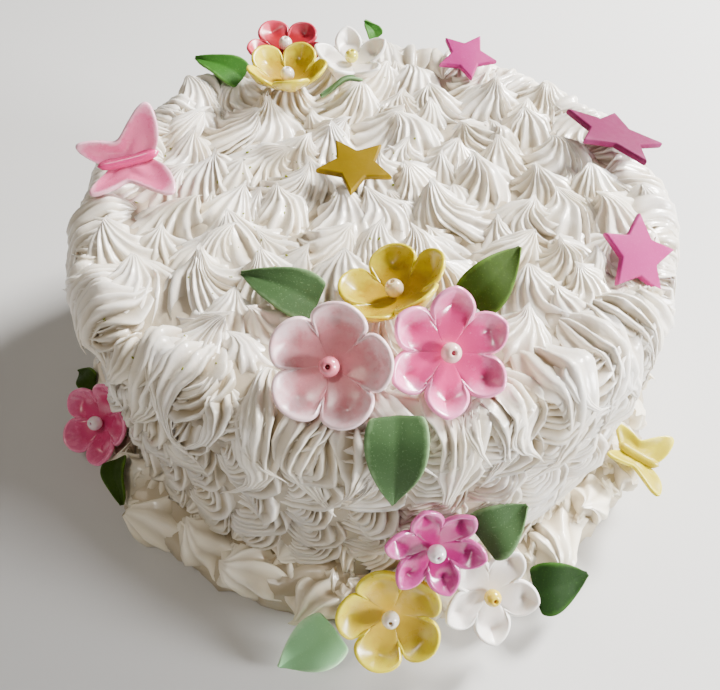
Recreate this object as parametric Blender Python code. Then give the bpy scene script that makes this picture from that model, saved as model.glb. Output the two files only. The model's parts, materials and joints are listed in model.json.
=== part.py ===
"""Layer cake under piped whipped cream, with sugar-paste flowers, pearls, leaves, stars and butterflies.

Run with: blender --background --python part.py
Lengths are metres, +Z is up and the origin is the middle of the cake's flat underside.
The front of the cake, with the flower clusters, faces -Y.
"""

import math
import random

import bmesh
import bpy
import numpy as np
from mathutils import Matrix, Vector
from mathutils.geometry import delaunay_2d_cdt

# Smooth body of the cake, before the piping
TOP_Z = 0.1165
TOP_FLAT_RADIUS = 0.1140
SHOULDER_RADIUS = 0.0130
WALL_FOOT_RADIUS = 0.1265
WALL_FOOT_Z = 0.025
BORDER_RING_RADIUS = 0.1320
BORDER_RING_Z = 0.0085
BORDER_TUBE_RADIUS = 0.0130
BORDER_START = math.radians(118)

# Mesh density of the cake
COLUMNS = 132
TOP_RING_STEP = 0.0057
SHOULDER_ROWS = 4
WALL_ROWS = 12
BORDER_ROWS = 7

# Star-tip kisses on the top
KISS_SPACING = 0.0245
KISS_RADIUS = 0.0165
KISS_HEIGHT = 0.0118
KISS_LEAN = 0.0070
KISS_FIELD_RADIUS = 0.1100
KISS_SHIFT = 0.16
KISS_SIZE_RANGE = (0.88, 1.12)
KISS_TURN = math.radians(95)
KISS_TURN_SPREAD = 0.9
KISS_REACH = 0.030

# Long strokes that hang over the rim and end in a point
RIM_STROKES = 34
STROKE_START = -0.0120
STROKE_LENGTH = 0.0460
STROKE_LENGTH_SPREAD = 0.0100
STROKE_HALF_WIDTH = 0.0128
STROKE_HEIGHT = 0.0082
STROKE_SHIFT = 0.15
STROKE_DRIFT = 0.0040

# Comma-shaped swirls on the wall
SWIRL_COLUMNS = 34
SWIRL_ROW_HEIGHT = 0.0165
SWIRL_FIRST_Z = 0.0300
SWIRL_ROWS = 5
SWIRL_RELIEF = 0.0054
SWIRL_HALF_WIDTH = 0.0125
SWIRL_HALF_HEIGHT = 0.0092
SWIRL_SHIFT = 0.4
SWIRL_LEAN = 0.35
SWIRL_LEAN_LIMIT = 1.2

# Blobs of the base border
BORDER_BLOBS = 31
BLOB_RADIUS = 0.0162
BLOB_HEIGHT = 0.0095
BLOB_LEAN = 0.0070
BLOB_SHIFT = 0.15
BLOB_SIZE_RANGE = (0.85, 1.12)
BLOB_PEAK_RANGE = (0.40, 0.75)

# Fit between the cream and what lies on it
GAP = 0.0008
SEAT_REACH = 0.0085
SEAT_DEPTH = 0.0300

# Sugar-paste trims
PETAL_THICKNESS = 0.0018
PETAL_SLIT = 0.50
PETAL_ROUNDNESS = 0.20
PETAL_PEAKEDNESS = 0.75
PETAL_NARROWING = 0.35
PETAL_CUP_POWER = 1.9
PETAL_CROWN = 0.0012
PETAL_STOPS = (0.0, 0.10, 0.35, 0.65, 0.90)
PETAL_MIDDLE = 0.55
PEARL_RADIUS = 0.0035
LEAF_THICKNESS = 0.0013
LEAF_BASE = 0.10
LEAF_TIP = 0.06
LEAF_WAVE = 0.0010
LEAF_FOLD = 0.0016
LEAF_SECTIONS = 7
LEAF_FULLNESS = 1.83
LEAF_BASE_POWER = 0.35
LEAF_TAPER_POWER = 0.92
STAR_THICKNESS = 0.0030
STAR_WAIST = 0.50
STAR_BEVEL = 0.0006
WING_THICKNESS = 0.0018
WING_OUTLINE = ((0, 0.30), (60, 1.00), (100, 0.48), (146, 0.82), (180, 0.30))
WING_BODY_HEIGHT = 0.0022
WING_BODY_HALF_WIDTH = 0.0030
WING_COLUMNS = 28
WING_MIDDLE = 0.40

SEED = 11

# Each flower: centre, facing, spin in degrees, diameter, petals, pointed share, cup depth, paste
FLOWERS = {
    "flower_rim_pale_pink": (
        (-0.0142, -0.1042, 0.1300), (-0.14, -0.66, 0.74), -34, 0.0430, 5, 0.1, 0.0060, "pale_pink"),
    "flower_rim_hot_pink": (
        (0.0241, -0.0995, 0.1312), (0.16, -0.66, 0.74), 0, 0.0440, 6, 0.5, 0.0050, "hot_pink"),
    "flower_rim_yellow": (
        (0.0090, -0.0690, 0.1250), (-0.30, 0.12, 0.95), 54, 0.0420, 5, 0.1, 0.0095, "yellow"),
    "flower_back_yellow": (
        (-0.0405, 0.0760, 0.1265), (0.00, 0.00, 1.00), 30, 0.0400, 5, 0.1, 0.0110, "yellow"),
    "flower_back_red": (
        (-0.0440, 0.1120, 0.1240), (0.02, -0.16, 0.98), 14, 0.0410, 5, 0.3, 0.0040, "red"),
    "flower_back_white": (
        (-0.0095, 0.0970, 0.1250), (0.05, -0.14, 0.98), -10, 0.0385, 5, 0.9, 0.0080, "white"),
    "flower_wall_magenta": (
        (0.0224, -0.1367, 0.0632), (0.16, -0.86, 0.48), 22, 0.0400, 6, 0.8, 0.0045, "magenta"),
    "flower_base_yellow": (
        (0.0070, -0.1510, 0.0325), (-0.03, -0.74, 0.67), 70, 0.0430, 5, 0.1, 0.0060, "yellow"),
    "flower_base_white": (
        (0.0468, -0.1415, 0.0300), (0.20, -0.74, 0.64), 28, 0.0425, 5, 0.8, 0.0045, "white"),
    "flower_side_crimson": (
        (-0.1300, -0.0555, 0.0238), (-0.42, -0.58, 0.70), 20, 0.0410, 5, 0.3, 0.0055, "crimson"),
}

# Each leaf: base, tip, upward side, width, arch, paste
LEAVES = {
    "leaf_rim_left": (
        (-0.0205, -0.0700, 0.1230), (-0.0500, -0.0560, 0.1255), (-0.10, -0.30, 0.95), 0.0200, 0.0030, "moss"),
    "leaf_rim_right": (
        (0.0350, -0.0720, 0.1260), (0.0540, -0.0540, 0.1370), (0.20, -0.55, 0.80), 0.0190, 0.0030, "olive"),
    "leaf_rim_below": (
        (0.0070, -0.1195, 0.1235), (0.0065, -0.1350, 0.0920), (0.02, -0.80, 0.60), 0.0220, 0.0050, "moss"),
    "leaf_back_left": (
        (-0.0640, 0.0850, 0.1240), (-0.0895, 0.0985, 0.1280), (-0.10, -0.20, 0.97), 0.0180, 0.0025, "leafy"),
    "leaf_back_right": (
        (0.0040, 0.1200, 0.1270), (-0.0025, 0.1260, 0.1340), (0.20, -0.70, 0.68), 0.0090, 0.0015, "leafy"),
    "leaf_back_front": (
        (-0.0050, 0.0745, 0.1290), (-0.0240, 0.0630, 0.1275), (0.22, 0.55, 0.80), 0.0110, 0.0020, "moss"),
    "leaf_wall": (
        (0.0415, -0.1312, 0.0555), (0.0595, -0.1212, 0.0650), (-0.05, -0.58, 0.81), 0.0220, 0.0020, "moss"),
    "leaf_base_right": (
        (0.0680, -0.1370, 0.0190), (0.0925, -0.1290, 0.0180), (0.25, -0.55, 0.80), 0.0230, 0.0020, "forest"),
    "leaf_base_left": (
        (-0.0150, -0.1520, 0.0170), (-0.0385, -0.1630, 0.0040), (-0.15, -0.72, 0.68), 0.0240, 0.0020, "mint"),
    "leaf_side_back": (
        (-0.140, -0.031, 0.022), (-0.154, -0.017, 0.015), (-0.50, -0.30, 0.81), 0.013, 0.0015, "olive"),
    "leaf_side_front": (
        (-0.1180, -0.0775, 0.0260), (-0.1130, -0.0975, 0.0190), (-0.50, -0.50, 0.70), 0.0170, 0.0015, "olive"),
}

# Each star: centre, facing, spin in degrees, diameter, paste
STARS = {
    "star_middle_gold": (
        (-0.0070, 0.0060, 0.1290), (0.02, -0.10, 0.99), -96, 0.0350, "gold"),
    "star_right_mauve": (
        (0.1095, 0.0290, 0.1290), (0.26, 0.12, 0.96), 2, 0.0490, "mauve"),
    "star_right_pink": (
        (0.1050, -0.0420, 0.1215), (0.34, -0.46, 0.82), 18, 0.0360, "rose"),
    "star_back_rose": (
        (0.0500, 0.1005, 0.1275), (0.02, -0.30, 0.95), 60, 0.0320, "rose"),
}

# Each butterfly: centre, body direction, upward side, wing length, lift of each side in degrees, paste
BUTTERFLIES = {
    "butterfly_top_pink": (
        (-0.1040, 0.0080, 0.1280), (0.95, 0.28, 0.10), (-0.08, -0.20, 0.97), 0.0325, (66, 3), "blush"),
    "butterfly_base_yellow": (
        (0.1215, -0.0790, 0.0285), (0.86, -0.44, -0.26), (0.40, 0.10, 0.91), 0.0250, (34, 6), "lemon"),
}

# Paste colours: red, green, blue (linear), roughness
PASTES = {
    "cream": (
        (0.82, 0.79, 0.72), 0.40),
    "pale_pink": (
        (0.80, 0.50, 0.55), 0.35),
    "hot_pink": (
        (0.74, 0.14, 0.30), 0.32),
    "yellow": (
        (0.62, 0.43, 0.02), 0.40),
    "red": (
        (0.42, 0.02, 0.04), 0.40),
    "white": (
        (0.84, 0.82, 0.78), 0.40),
    "magenta": (
        (0.46, 0.05, 0.22), 0.28),
    "crimson": (
        (0.52, 0.04, 0.14), 0.35),
    "moss": (
        (0.08, 0.20, 0.08), 0.60),
    "olive": (
        (0.09, 0.19, 0.03), 0.60),
    "leafy": (
        (0.08, 0.24, 0.04), 0.60),
    "forest": (
        (0.04, 0.15, 0.03), 0.60),
    "mint": (
        (0.22, 0.50, 0.26), 0.60),
    "gold": (
        (0.44, 0.29, 0.03), 0.35),
    "mauve": (
        (0.42, 0.12, 0.27), 0.45),
    "rose": (
        (0.66, 0.20, 0.42), 0.45),
    "blush": (
        (0.76, 0.36, 0.50), 0.35),
    "lemon": (
        (0.74, 0.66, 0.10), 0.40),
    "pearl": (
        (0.84, 0.74, 0.66), 0.20),
}


def clear_scene():
    for obj in list(bpy.data.objects):
        bpy.data.objects.remove(obj, do_unlink=True)


def paste_material(name):
    """The Principled material of one paste, made once."""
    if name in bpy.data.materials:
        return bpy.data.materials[name]
    colour, roughness = PASTES[name]
    material = bpy.data.materials.new(name)
    material.use_nodes = True
    shader = material.node_tree.nodes["Principled BSDF"]
    shader.inputs["Base Color"].default_value = (*colour, 1.0)
    shader.inputs["Roughness"].default_value = roughness
    shader.inputs["Metallic"].default_value = 0.0
    return material


def add_object(name, vertices, faces, paste):
    """A mesh object with its faces turned outwards and its round surfaces shaded smooth."""
    mesh = bpy.data.meshes.new(name)
    mesh.from_pydata([tuple(v) for v in vertices], [], faces)
    body = bmesh.new()
    body.from_mesh(mesh)
    bmesh.ops.recalc_face_normals(body, faces=body.faces)
    bmesh.ops.triangulate(body, faces=body.faces)
    body.to_mesh(mesh)
    body.free()
    mesh.shade_smooth()
    mesh.set_sharp_from_angle(angle=math.radians(50))
    mesh.materials.append(paste_material(paste))
    obj = bpy.data.objects.new(name, mesh)
    bpy.context.scene.collection.objects.link(obj)
    return obj


def facing_matrix(centre, facing, spin_degrees):
    """Places a form drawn flat in XY so that its +Z looks along facing, after a turn about its own axis."""
    turn = Vector((0, 0, 1)).rotation_difference(Vector(facing).normalized()).to_matrix().to_4x4()
    return Matrix.Translation(centre) @ turn @ Matrix.Rotation(math.radians(spin_degrees), 4, "Z")


def closed_sheet(top_rings, centre_top, bottom_rings, centre_bottom):
    """Vertices and faces of a round sheet: two fans of rings, joined along the outer edge."""
    around = len(top_rings[0])
    vertices = []
    faces = []
    for rings, centre in ((top_rings, centre_top), (bottom_rings, centre_bottom)):
        start = len(vertices)
        vertices.append(centre)
        for ring in rings:
            vertices.extend(ring)
        for i in range(around):
            j = (i + 1) % around
            faces.append((start, start + 1 + i, start + 1 + j))
            for k in range(len(rings) - 1):
                a = start + 1 + k * around
                b = a + around
                faces.append((a + i, b + i, b + j, a + j))
    rim_top = 1 + (len(top_rings) - 1) * around
    rim_bottom = rim_top + 1 + len(top_rings) * around
    for i in range(around):
        j = (i + 1) % around
        faces.append((rim_top + i, rim_bottom + i, rim_bottom + j, rim_top + j))
    return vertices, faces


def petal_reach(u, pointed):
    """How far a petal reaches at u, from 0 at one slit to 1 at the next, as a share of the radius."""
    across = math.sin(math.pi * u)
    rounded = across ** PETAL_ROUNDNESS
    peaked = across ** PETAL_PEAKEDNESS * (0.80 + 0.20 * across ** 3)
    return PETAL_SLIT + (1 - PETAL_SLIT) * ((1 - pointed) * rounded + pointed * peaked)


def build_flower(name, centre, facing, spin, diameter, petals, pointed, cup, paste):
    """A flower cut from a sheet of paste and cupped, each petal dimpled, with a pearl set in its middle."""
    radius = diameter / 2
    place = facing_matrix(centre, facing, spin)

    def ring(share, drop):
        points = []
        for petal in range(petals):
            for u in PETAL_STOPS:
                angle = 2 * math.pi * (petal + u) / petals
                reach = petal_reach(u, pointed)
                r = radius * (share * reach + (1 - share) * share * PETAL_NARROWING)
                crown = PETAL_CROWN * math.sin(math.pi * u) * (1 if share == 1.0 else -1)
                z = cup * (r / radius) ** PETAL_CUP_POWER + crown - drop
                points.append(place @ Vector((r * math.cos(angle), r * math.sin(angle), z)))
        return points

    half = PETAL_THICKNESS / 2
    top = [ring(PETAL_MIDDLE, -half), ring(1.0, -half)]
    bottom = [ring(PETAL_MIDDLE, half), ring(1.0, half)]
    vertices, faces = closed_sheet(top, place @ Vector((0, 0, half)), bottom, place @ Vector((0, 0, -half)))
    add_object(name, vertices, faces, paste)

    pearl = bmesh.new()
    bmesh.ops.create_icosphere(pearl, subdivisions=2, radius=PEARL_RADIUS)
    pearl_centre = place @ Vector((0, 0, half + GAP + PEARL_RADIUS))
    vertices = [v.co + pearl_centre for v in pearl.verts]
    faces = [[v.index for v in face.verts] for face in pearl.faces]
    pearl.free()
    add_object(name.replace("flower", "pearl"), vertices, faces, "pearl")


def leaf_share(t):
    """Width of a leaf at t, from 0 at its base to 1 at its tip, as a share of its full width."""
    return LEAF_FULLNESS * (t + LEAF_BASE) ** LEAF_BASE_POWER * (1 - t) ** LEAF_TAPER_POWER


def build_leaf(name, base, tip, up, width, arch, paste):
    """A thin wavy leaf with a sunk midrib, from its base to its pointed tip."""
    base = Vector(base)
    along = Vector(tip) - base
    side = along.cross(Vector(up)).normalized()
    rise = side.cross(along).normalized()
    half = LEAF_THICKNESS / 2
    layers = {half: [], -half: []}
    for i in range(LEAF_SECTIONS):
        t = i / (LEAF_SECTIONS - 1)
        spread = width / 2 * max(leaf_share(t), LEAF_TIP)
        for lane in (-1, 0, 1):
            wave = LEAF_WAVE * math.sin(2 * math.pi * t + lane)
            fold = LEAF_FOLD * abs(lane) * spread / (width / 2)
            lift = arch * math.sin(math.pi * t) + wave + fold
            point = base + along * t + side * (lane * spread) + rise * lift
            for offset, layer in layers.items():
                layer.append(point + rise * offset)
    top, bottom = layers.values()
    vertices = top + bottom
    under = len(top)
    faces = []
    for i in range(LEAF_SECTIONS - 1):
        for lane in (0, 1):
            a = i * 3 + lane
            quad = (a, a + 1, a + 4, a + 3)
            for start in (0, under):
                faces.append((start + quad[0], start + quad[1], start + quad[2]))
                faces.append((start + quad[0], start + quad[2], start + quad[3]))
        for lane in (0, 2):
            a = i * 3 + lane
            faces.append((a, a + 3, under + a + 3, under + a))
    for i in (0, LEAF_SECTIONS - 1):
        for lane in (0, 1):
            a = i * 3 + lane
            faces.append((a, a + 1, under + a + 1, under + a))
    add_object(name, vertices, faces, paste)


def build_star(name, centre, facing, spin, diameter, paste):
    """A five-pointed star cut from a thick sheet, its edges softened by a bevel."""
    outline = []
    for i in range(10):
        radius = diameter / 2 * (1.0 if i % 2 == 0 else STAR_WAIST)
        angle = math.pi * i / 5
        outline.append((radius * math.cos(angle), radius * math.sin(angle)))
    place = facing_matrix(centre, facing, spin)
    half = STAR_THICKNESS / 2
    top = [place @ Vector((x, y, half)) for x, y in outline]
    bottom = [place @ Vector((x, y, -half)) for x, y in outline]
    faces = [tuple(range(10)), tuple(range(19, 9, -1))]
    for i in range(10):
        j = (i + 1) % 10
        faces.append((i, j, 10 + j, 10 + i))
    obj = add_object(name, top + bottom, faces, paste)
    bevel = obj.modifiers.new("soft edges", "BEVEL")
    bevel.width = STAR_BEVEL
    bevel.segments = 1
    bevel.limit_method = "ANGLE"
    bevel.angle_limit = math.radians(40)


def wing_reach(angle):
    """How far the wings reach at an angle from the head, as a share of the wing length."""
    away = abs(math.degrees(math.remainder(angle, 2 * math.pi)))
    for (start, low), (end, high) in zip(WING_OUTLINE, WING_OUTLINE[1:]):
        if start <= away <= end:
            t = (away - start) / (end - start)
            return low + (high - low) * (t * t if high > low else 1 - (1 - t) ** 2) ** 0.75
    return WING_OUTLINE[-1][1]


def build_butterfly(name, centre, body, up, length, lifts, paste):
    """A butterfly cut from one sheet: two pairs of wings, each side bent up from a thicker body."""
    forward = Vector(body).normalized()
    side = Vector(up).cross(forward).normalized()
    rise = forward.cross(side).normalized()
    half = WING_THICKNESS / 2

    def ring(share, offset):
        points = []
        for i in range(WING_COLUMNS):
            angle = 2 * math.pi * i / WING_COLUMNS
            r = share * length * wing_reach(angle)
            u = r * math.cos(angle)
            v = r * math.sin(angle)
            on_body = abs(v) < WING_BODY_HALF_WIDTH
            lift = 0.0 if on_body else math.radians(lifts[0] if v > 0 else lifts[1])
            outward = side * math.copysign(1, v)
            wing = outward * math.cos(lift) + rise * math.sin(lift)
            above = rise * math.cos(lift) - outward * math.sin(lift)
            swell = WING_BODY_HEIGHT if on_body and offset > 0 else 0.0
            points.append(Vector(centre) + forward * u + wing * abs(v) + above * (offset + swell))
        return points

    top = [ring(WING_MIDDLE, half), ring(1.0, half)]
    bottom = [ring(WING_MIDDLE, -half), ring(1.0, -half)]
    middle_top = Vector(centre) + rise * (half + WING_BODY_HEIGHT)
    vertices, faces = closed_sheet(top, middle_top, bottom, Vector(centre) - rise * half)
    add_object(name, vertices, faces, paste)


def build_trims():
    for name, values in FLOWERS.items():
        build_flower(name, *values)
    for name, values in LEAVES.items():
        build_leaf(name, *values)
    for name, values in STARS.items():
        build_star(name, *values)
    for name, values in BUTTERFLIES.items():
        build_butterfly(name, *values)


def kiss_places():
    """Centre, lean and size of each kiss on the top: a hexagonal grid, unevenly shifted."""
    draw = random.Random(SEED)
    places = []
    rows = int(KISS_FIELD_RADIUS / (KISS_SPACING * 0.866)) + 1
    for row in range(-rows, rows + 1):
        for column in range(-rows, rows + 1):
            x = (column + 0.5 * (row % 2)) * KISS_SPACING
            y = row * KISS_SPACING * 0.866
            x += draw.uniform(-KISS_SHIFT, KISS_SHIFT) * KISS_SPACING
            y += draw.uniform(-KISS_SHIFT, KISS_SHIFT) * KISS_SPACING
            size = draw.uniform(*KISS_SIZE_RANGE)
            turn = KISS_TURN + draw.uniform(-KISS_TURN_SPREAD, KISS_TURN_SPREAD)
            if math.hypot(x, y) <= KISS_FIELD_RADIUS:
                places.append((x, y, turn, size))
    return places


def leaning_cone(dx, dy, lean_x, lean_y, radius):
    """Share of the height, from 0 outside to 1 at the peak, of a cone whose peak is shifted by the lean."""
    qx = dx - lean_x
    qy = dy - lean_y
    dot = qx * lean_x + qy * lean_y
    spare = radius * radius - lean_x * lean_x - lean_y * lean_y
    distance = (dot + math.sqrt(dot * dot + spare * (qx * qx + qy * qy))) / spare
    return max(0.0, 1 - distance)


def kiss_relief(x, y, kisses):
    height = 0.0
    for kx, ky, turn, size in kisses:
        if abs(x - kx) > KISS_REACH or abs(y - ky) > KISS_REACH:
            continue
        lean_x = KISS_LEAN * math.cos(turn)
        lean_y = KISS_LEAN * math.sin(turn)
        share = leaning_cone(x - kx, y - ky, lean_x, lean_y, KISS_RADIUS * size)
        height = max(height, KISS_HEIGHT * size * share ** 0.75)
    return height


def stroke_sizes():
    draw = random.Random(SEED + 1)
    return [(draw.uniform(-STROKE_SHIFT, STROKE_SHIFT), draw.uniform(-1, 1)) for _ in range(RIM_STROKES)]


def stroke_relief(angle, along, radius, strokes):
    """Relief of the rim strokes at a distance along the profile from the top's flat edge."""
    height = 0.0
    for i, (shift, spread) in enumerate(strokes):
        middle = 2 * math.pi * (i + 0.5 + shift) / RIM_STROKES
        away = math.remainder(angle - middle, 2 * math.pi) * radius
        length = STROKE_LENGTH + spread * STROKE_LENGTH_SPREAD
        t = (along - STROKE_START) / (length - STROKE_START)
        if not 0 <= t <= 1:
            continue
        half_width = STROKE_HALF_WIDTH * min(1.0, 1.25 * (1 - t) ** 0.7)
        across = abs(away - STROKE_DRIFT * t) / max(half_width, 1e-6)
        if across < 1:
            rise = min(1.0, 4 * t) * (1 - t) ** 0.45
            height = max(height, STROKE_HEIGHT * rise * math.sqrt(1 - across * across))
    return height


def swirl_relief(angle, z, radius):
    """Relief of the wall's swirls, each a flat dome that is fullest towards its lower right."""
    height = 0.0
    cell = angle / (2 * math.pi) * SWIRL_COLUMNS
    for column in (math.floor(cell) - 1, math.floor(cell), math.floor(cell) + 1):
        draw = random.Random(SEED + 100 + column % SWIRL_COLUMNS)
        shift = draw.uniform(-SWIRL_SHIFT, SWIRL_SHIFT) * SWIRL_ROW_HEIGHT
        across = (cell - column - 0.5) * 2 * math.pi * radius / SWIRL_COLUMNS
        for row in range(SWIRL_ROWS):
            up = z - (SWIRL_FIRST_Z + shift + (row + 0.3) * SWIRL_ROW_HEIGHT)
            inside = 1 - (across / SWIRL_HALF_WIDTH) ** 2 - (up / SWIRL_HALF_HEIGHT) ** 2
            if inside > 0:
                lean = 1 + SWIRL_LEAN * (across / SWIRL_HALF_WIDTH - up / SWIRL_HALF_HEIGHT)
                height = max(height, SWIRL_RELIEF * min(lean, SWIRL_LEAN_LIMIT) * math.sqrt(inside))
    return height


def border_relief(angle, along, radius):
    """Relief of the blobs round the foot, each leaning along the border."""
    height = 0.0
    step = 2 * math.pi / BORDER_BLOBS
    cell = math.floor(angle / step)
    for blob in (cell - 1, cell, cell + 1):
        draw = random.Random(SEED + 300 + blob % BORDER_BLOBS)
        middle = (blob + 0.5 + draw.uniform(-BLOB_SHIFT, BLOB_SHIFT)) * step
        size = draw.uniform(*BLOB_SIZE_RANGE)
        sideways = math.remainder(angle - middle, 2 * math.pi) * radius
        peak = draw.uniform(*BLOB_PEAK_RANGE) * BORDER_TUBE_RADIUS * 2
        share = leaning_cone(sideways, along - peak, -BLOB_LEAN, 0.0, BLOB_RADIUS * size)
        height = max(height, BLOB_HEIGHT * size * share ** 0.6)
    return height


def profile_stations():
    """Points down the cake's side: radius, height, outward normal, distance from the top's edge and band."""
    stations = []
    centre_z = TOP_Z - SHOULDER_RADIUS
    for i in range(SHOULDER_ROWS + 1):
        turn = math.pi / 2 * (1 - i / SHOULDER_ROWS)
        r = TOP_FLAT_RADIUS + SHOULDER_RADIUS * math.cos(turn)
        z = centre_z + SHOULDER_RADIUS * math.sin(turn)
        along = SHOULDER_RADIUS * (math.pi / 2 - turn)
        stations.append((r, z, math.cos(turn), math.sin(turn), along, "shoulder"))
    wall_top = TOP_FLAT_RADIUS + SHOULDER_RADIUS
    slope = Vector((centre_z - WALL_FOOT_Z, WALL_FOOT_RADIUS - wall_top)).normalized()
    for i in range(1, WALL_ROWS + 1):
        t = i / WALL_ROWS
        r = wall_top + (WALL_FOOT_RADIUS - wall_top) * t
        z = centre_z + (WALL_FOOT_Z - centre_z) * t
        along = SHOULDER_RADIUS * math.pi / 2 + centre_z - z
        stations.append((r, z, slope.x, slope.y, along, "wall"))
    last = -math.asin(BORDER_RING_Z / BORDER_TUBE_RADIUS)
    for i in range(BORDER_ROWS + 1):
        turn = BORDER_START + (last - BORDER_START) * i / BORDER_ROWS
        r = BORDER_RING_RADIUS + BORDER_TUBE_RADIUS * math.cos(turn)
        z = BORDER_RING_Z + BORDER_TUBE_RADIUS * math.sin(turn)
        along = BORDER_TUBE_RADIUS * (BORDER_START - turn)
        normal = (1.0, 0.0) if i == BORDER_ROWS else (math.cos(turn), math.sin(turn))
        stations.append((r, max(z, 0.0), *normal, along, "border"))
    return stations


def seated_height(base, normal, height, trims):
    """The relief height, held below every trim that lies over this spot or close beside it."""
    away = trims - np.array(base)
    along = away @ np.array(normal)
    sideways = np.sqrt(np.maximum((away * away).sum(axis=1) - along * along, 0.0))
    near = (sideways < SEAT_REACH) & (np.abs(along) < SEAT_DEPTH)
    if near.any():
        height = min(height, float(along[near].min()) - GAP)
    return height


def trim_points():
    """Points spread over all the trims built so far: their corners, edge middles and face middles."""
    points = []
    for obj in bpy.context.scene.objects:
        vertices = obj.data.vertices
        points.extend(v.co[:] for v in vertices)
        for edge in obj.data.edges:
            first, second = edge.vertices
            points.append(((vertices[first].co + vertices[second].co) / 2)[:])
        points.extend(face.center[:] for face in obj.data.polygons)
    return np.array(points)


def top_points(kisses, strokes, trims):
    """Points of the cake's top, ring by ring, without the edge that it shares with the side."""
    rings = round(TOP_FLAT_RADIUS / TOP_RING_STEP)
    points = []
    up = Vector((0, 0, 1))
    for k in range(rings):
        radius = TOP_FLAT_RADIUS * k / rings
        count = max(1, round(COLUMNS * k / rings))
        for i in range(count):
            angle = 2 * math.pi * (i + 0.5 * (k % 2)) / count
            x = radius * math.cos(angle)
            y = radius * math.sin(angle)
            height = kiss_relief(x, y, kisses)
            height = max(height, stroke_relief(angle, radius - TOP_FLAT_RADIUS, TOP_FLAT_RADIUS, strokes))
            height = seated_height(Vector((x, y, TOP_Z)), up, height, trims)
            points.append((x, y, TOP_Z + height))
    return points


def side_points(kisses, strokes, trims):
    """Rows of points down the side, the first along the top's edge and the last on the underside."""
    rows = []
    for r, z, nr, nz, along, band in profile_stations():
        row = []
        for i in range(COLUMNS):
            angle = 2 * math.pi * i / COLUMNS
            out = Vector((math.cos(angle), math.sin(angle), 0))
            normal = Vector((nr * out.x, nr * out.y, nz))
            base = out * r + Vector((0, 0, z))
            if band == "border":
                height = border_relief(angle, along, r)
            else:
                height = stroke_relief(angle, along, r, strokes)
                if band == "wall":
                    height = max(height, swirl_relief(angle, z, r))
                else:
                    height = max(height, kiss_relief(base.x, base.y, kisses))
            height = seated_height(base, normal, height, trims)
            point = base + normal * height
            row.append((point.x, point.y, max(point.z, 0.0)))
        rows.append(row)
    return rows


def build_cake():
    """The solid cake in its piped cream, one closed body with a flat underside."""
    kisses = kiss_places()
    strokes = stroke_sizes()
    trims = trim_points()
    inner = top_points(kisses, strokes, trims)
    rows = side_points(kisses, strokes, trims)
    flat = [Vector((x, y)) for x, y, _ in inner]
    for i in range(COLUMNS):
        angle = 2 * math.pi * i / COLUMNS
        flat.append(TOP_FLAT_RADIUS * Vector((math.cos(angle), math.sin(angle))))
    triangles = delaunay_2d_cdt(flat, [], [], 0, 1e-6)[2]
    vertices = list(inner) + rows[0]
    faces = [tuple(face) for face in triangles]
    first = len(inner)
    for row in rows[1:]:
        vertices.extend(row)
    for k in range(len(rows) - 1):
        a = first + k * COLUMNS
        b = a + COLUMNS
        for i in range(COLUMNS):
            j = (i + 1) % COLUMNS
            faces.append((a + i, a + j, b + j))
            faces.append((a + i, b + j, b + i))
    last = first + (len(rows) - 1) * COLUMNS
    middle = len(vertices)
    vertices.append((0.0, 0.0, 0.0))
    for i in range(COLUMNS):
        faces.append((middle, last + i, last + (i + 1) % COLUMNS))
    add_object("cake", vertices, faces, "cream")


clear_scene()
build_trims()
build_cake()
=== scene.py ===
"""Layer cake in piped whipped cream, set with sugar-paste flowers, leaves, stars and butterflies.

Laid out as a Blender add-on: the sizes and colours are properties, each group of like pieces has an
operator, and a panel in the 3D view's sidebar lists them. Lengths are metres and +Z is up.
The front of the cake, with the flower clusters, faces -Y.
"""

import json
import math
import random

import bmesh
import bpy
import numpy as np
from mathutils import Matrix, Vector

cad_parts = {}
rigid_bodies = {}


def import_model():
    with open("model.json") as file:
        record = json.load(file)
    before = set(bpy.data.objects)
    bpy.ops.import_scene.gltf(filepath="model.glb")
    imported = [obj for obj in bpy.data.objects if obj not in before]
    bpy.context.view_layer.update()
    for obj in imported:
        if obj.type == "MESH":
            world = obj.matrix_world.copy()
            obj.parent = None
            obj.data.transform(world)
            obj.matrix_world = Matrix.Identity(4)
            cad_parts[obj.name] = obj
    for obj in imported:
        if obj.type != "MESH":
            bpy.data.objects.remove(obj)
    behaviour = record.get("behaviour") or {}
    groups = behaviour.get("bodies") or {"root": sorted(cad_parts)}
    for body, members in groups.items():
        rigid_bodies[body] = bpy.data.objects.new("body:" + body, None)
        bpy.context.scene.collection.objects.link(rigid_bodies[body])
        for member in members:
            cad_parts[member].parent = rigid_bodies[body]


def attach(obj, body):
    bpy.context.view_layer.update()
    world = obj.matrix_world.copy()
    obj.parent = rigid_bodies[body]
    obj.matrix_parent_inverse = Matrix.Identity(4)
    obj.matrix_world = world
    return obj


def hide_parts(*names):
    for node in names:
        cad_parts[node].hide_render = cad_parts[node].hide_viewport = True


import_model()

bl_info = {
    "name": "Layer cake",
    "version": (1, 0, 0),
    "blender": (4, 5, 0),
    "location": "3D View > Sidebar > Cake",
    "description": "Builds a layer cake in piped cream with sugar-paste trims",
    "category": "Object",
}

# Smooth body of the cake, under the piping
TOP_Z = 0.1165
TOP_FLAT_RADIUS = 0.1140
SHOULDER_RADIUS = 0.0130
WALL_FOOT_RADIUS = 0.1265
WALL_FOOT_Z = 0.025
BORDER_RING_RADIUS = 0.1320
BORDER_RING_Z = 0.0085
BORDER_TUBE_RADIUS = 0.0130
BORDER_START = math.radians(118)
BORDER_END = -math.asin(BORDER_RING_Z / BORDER_TUBE_RADIUS)

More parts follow.
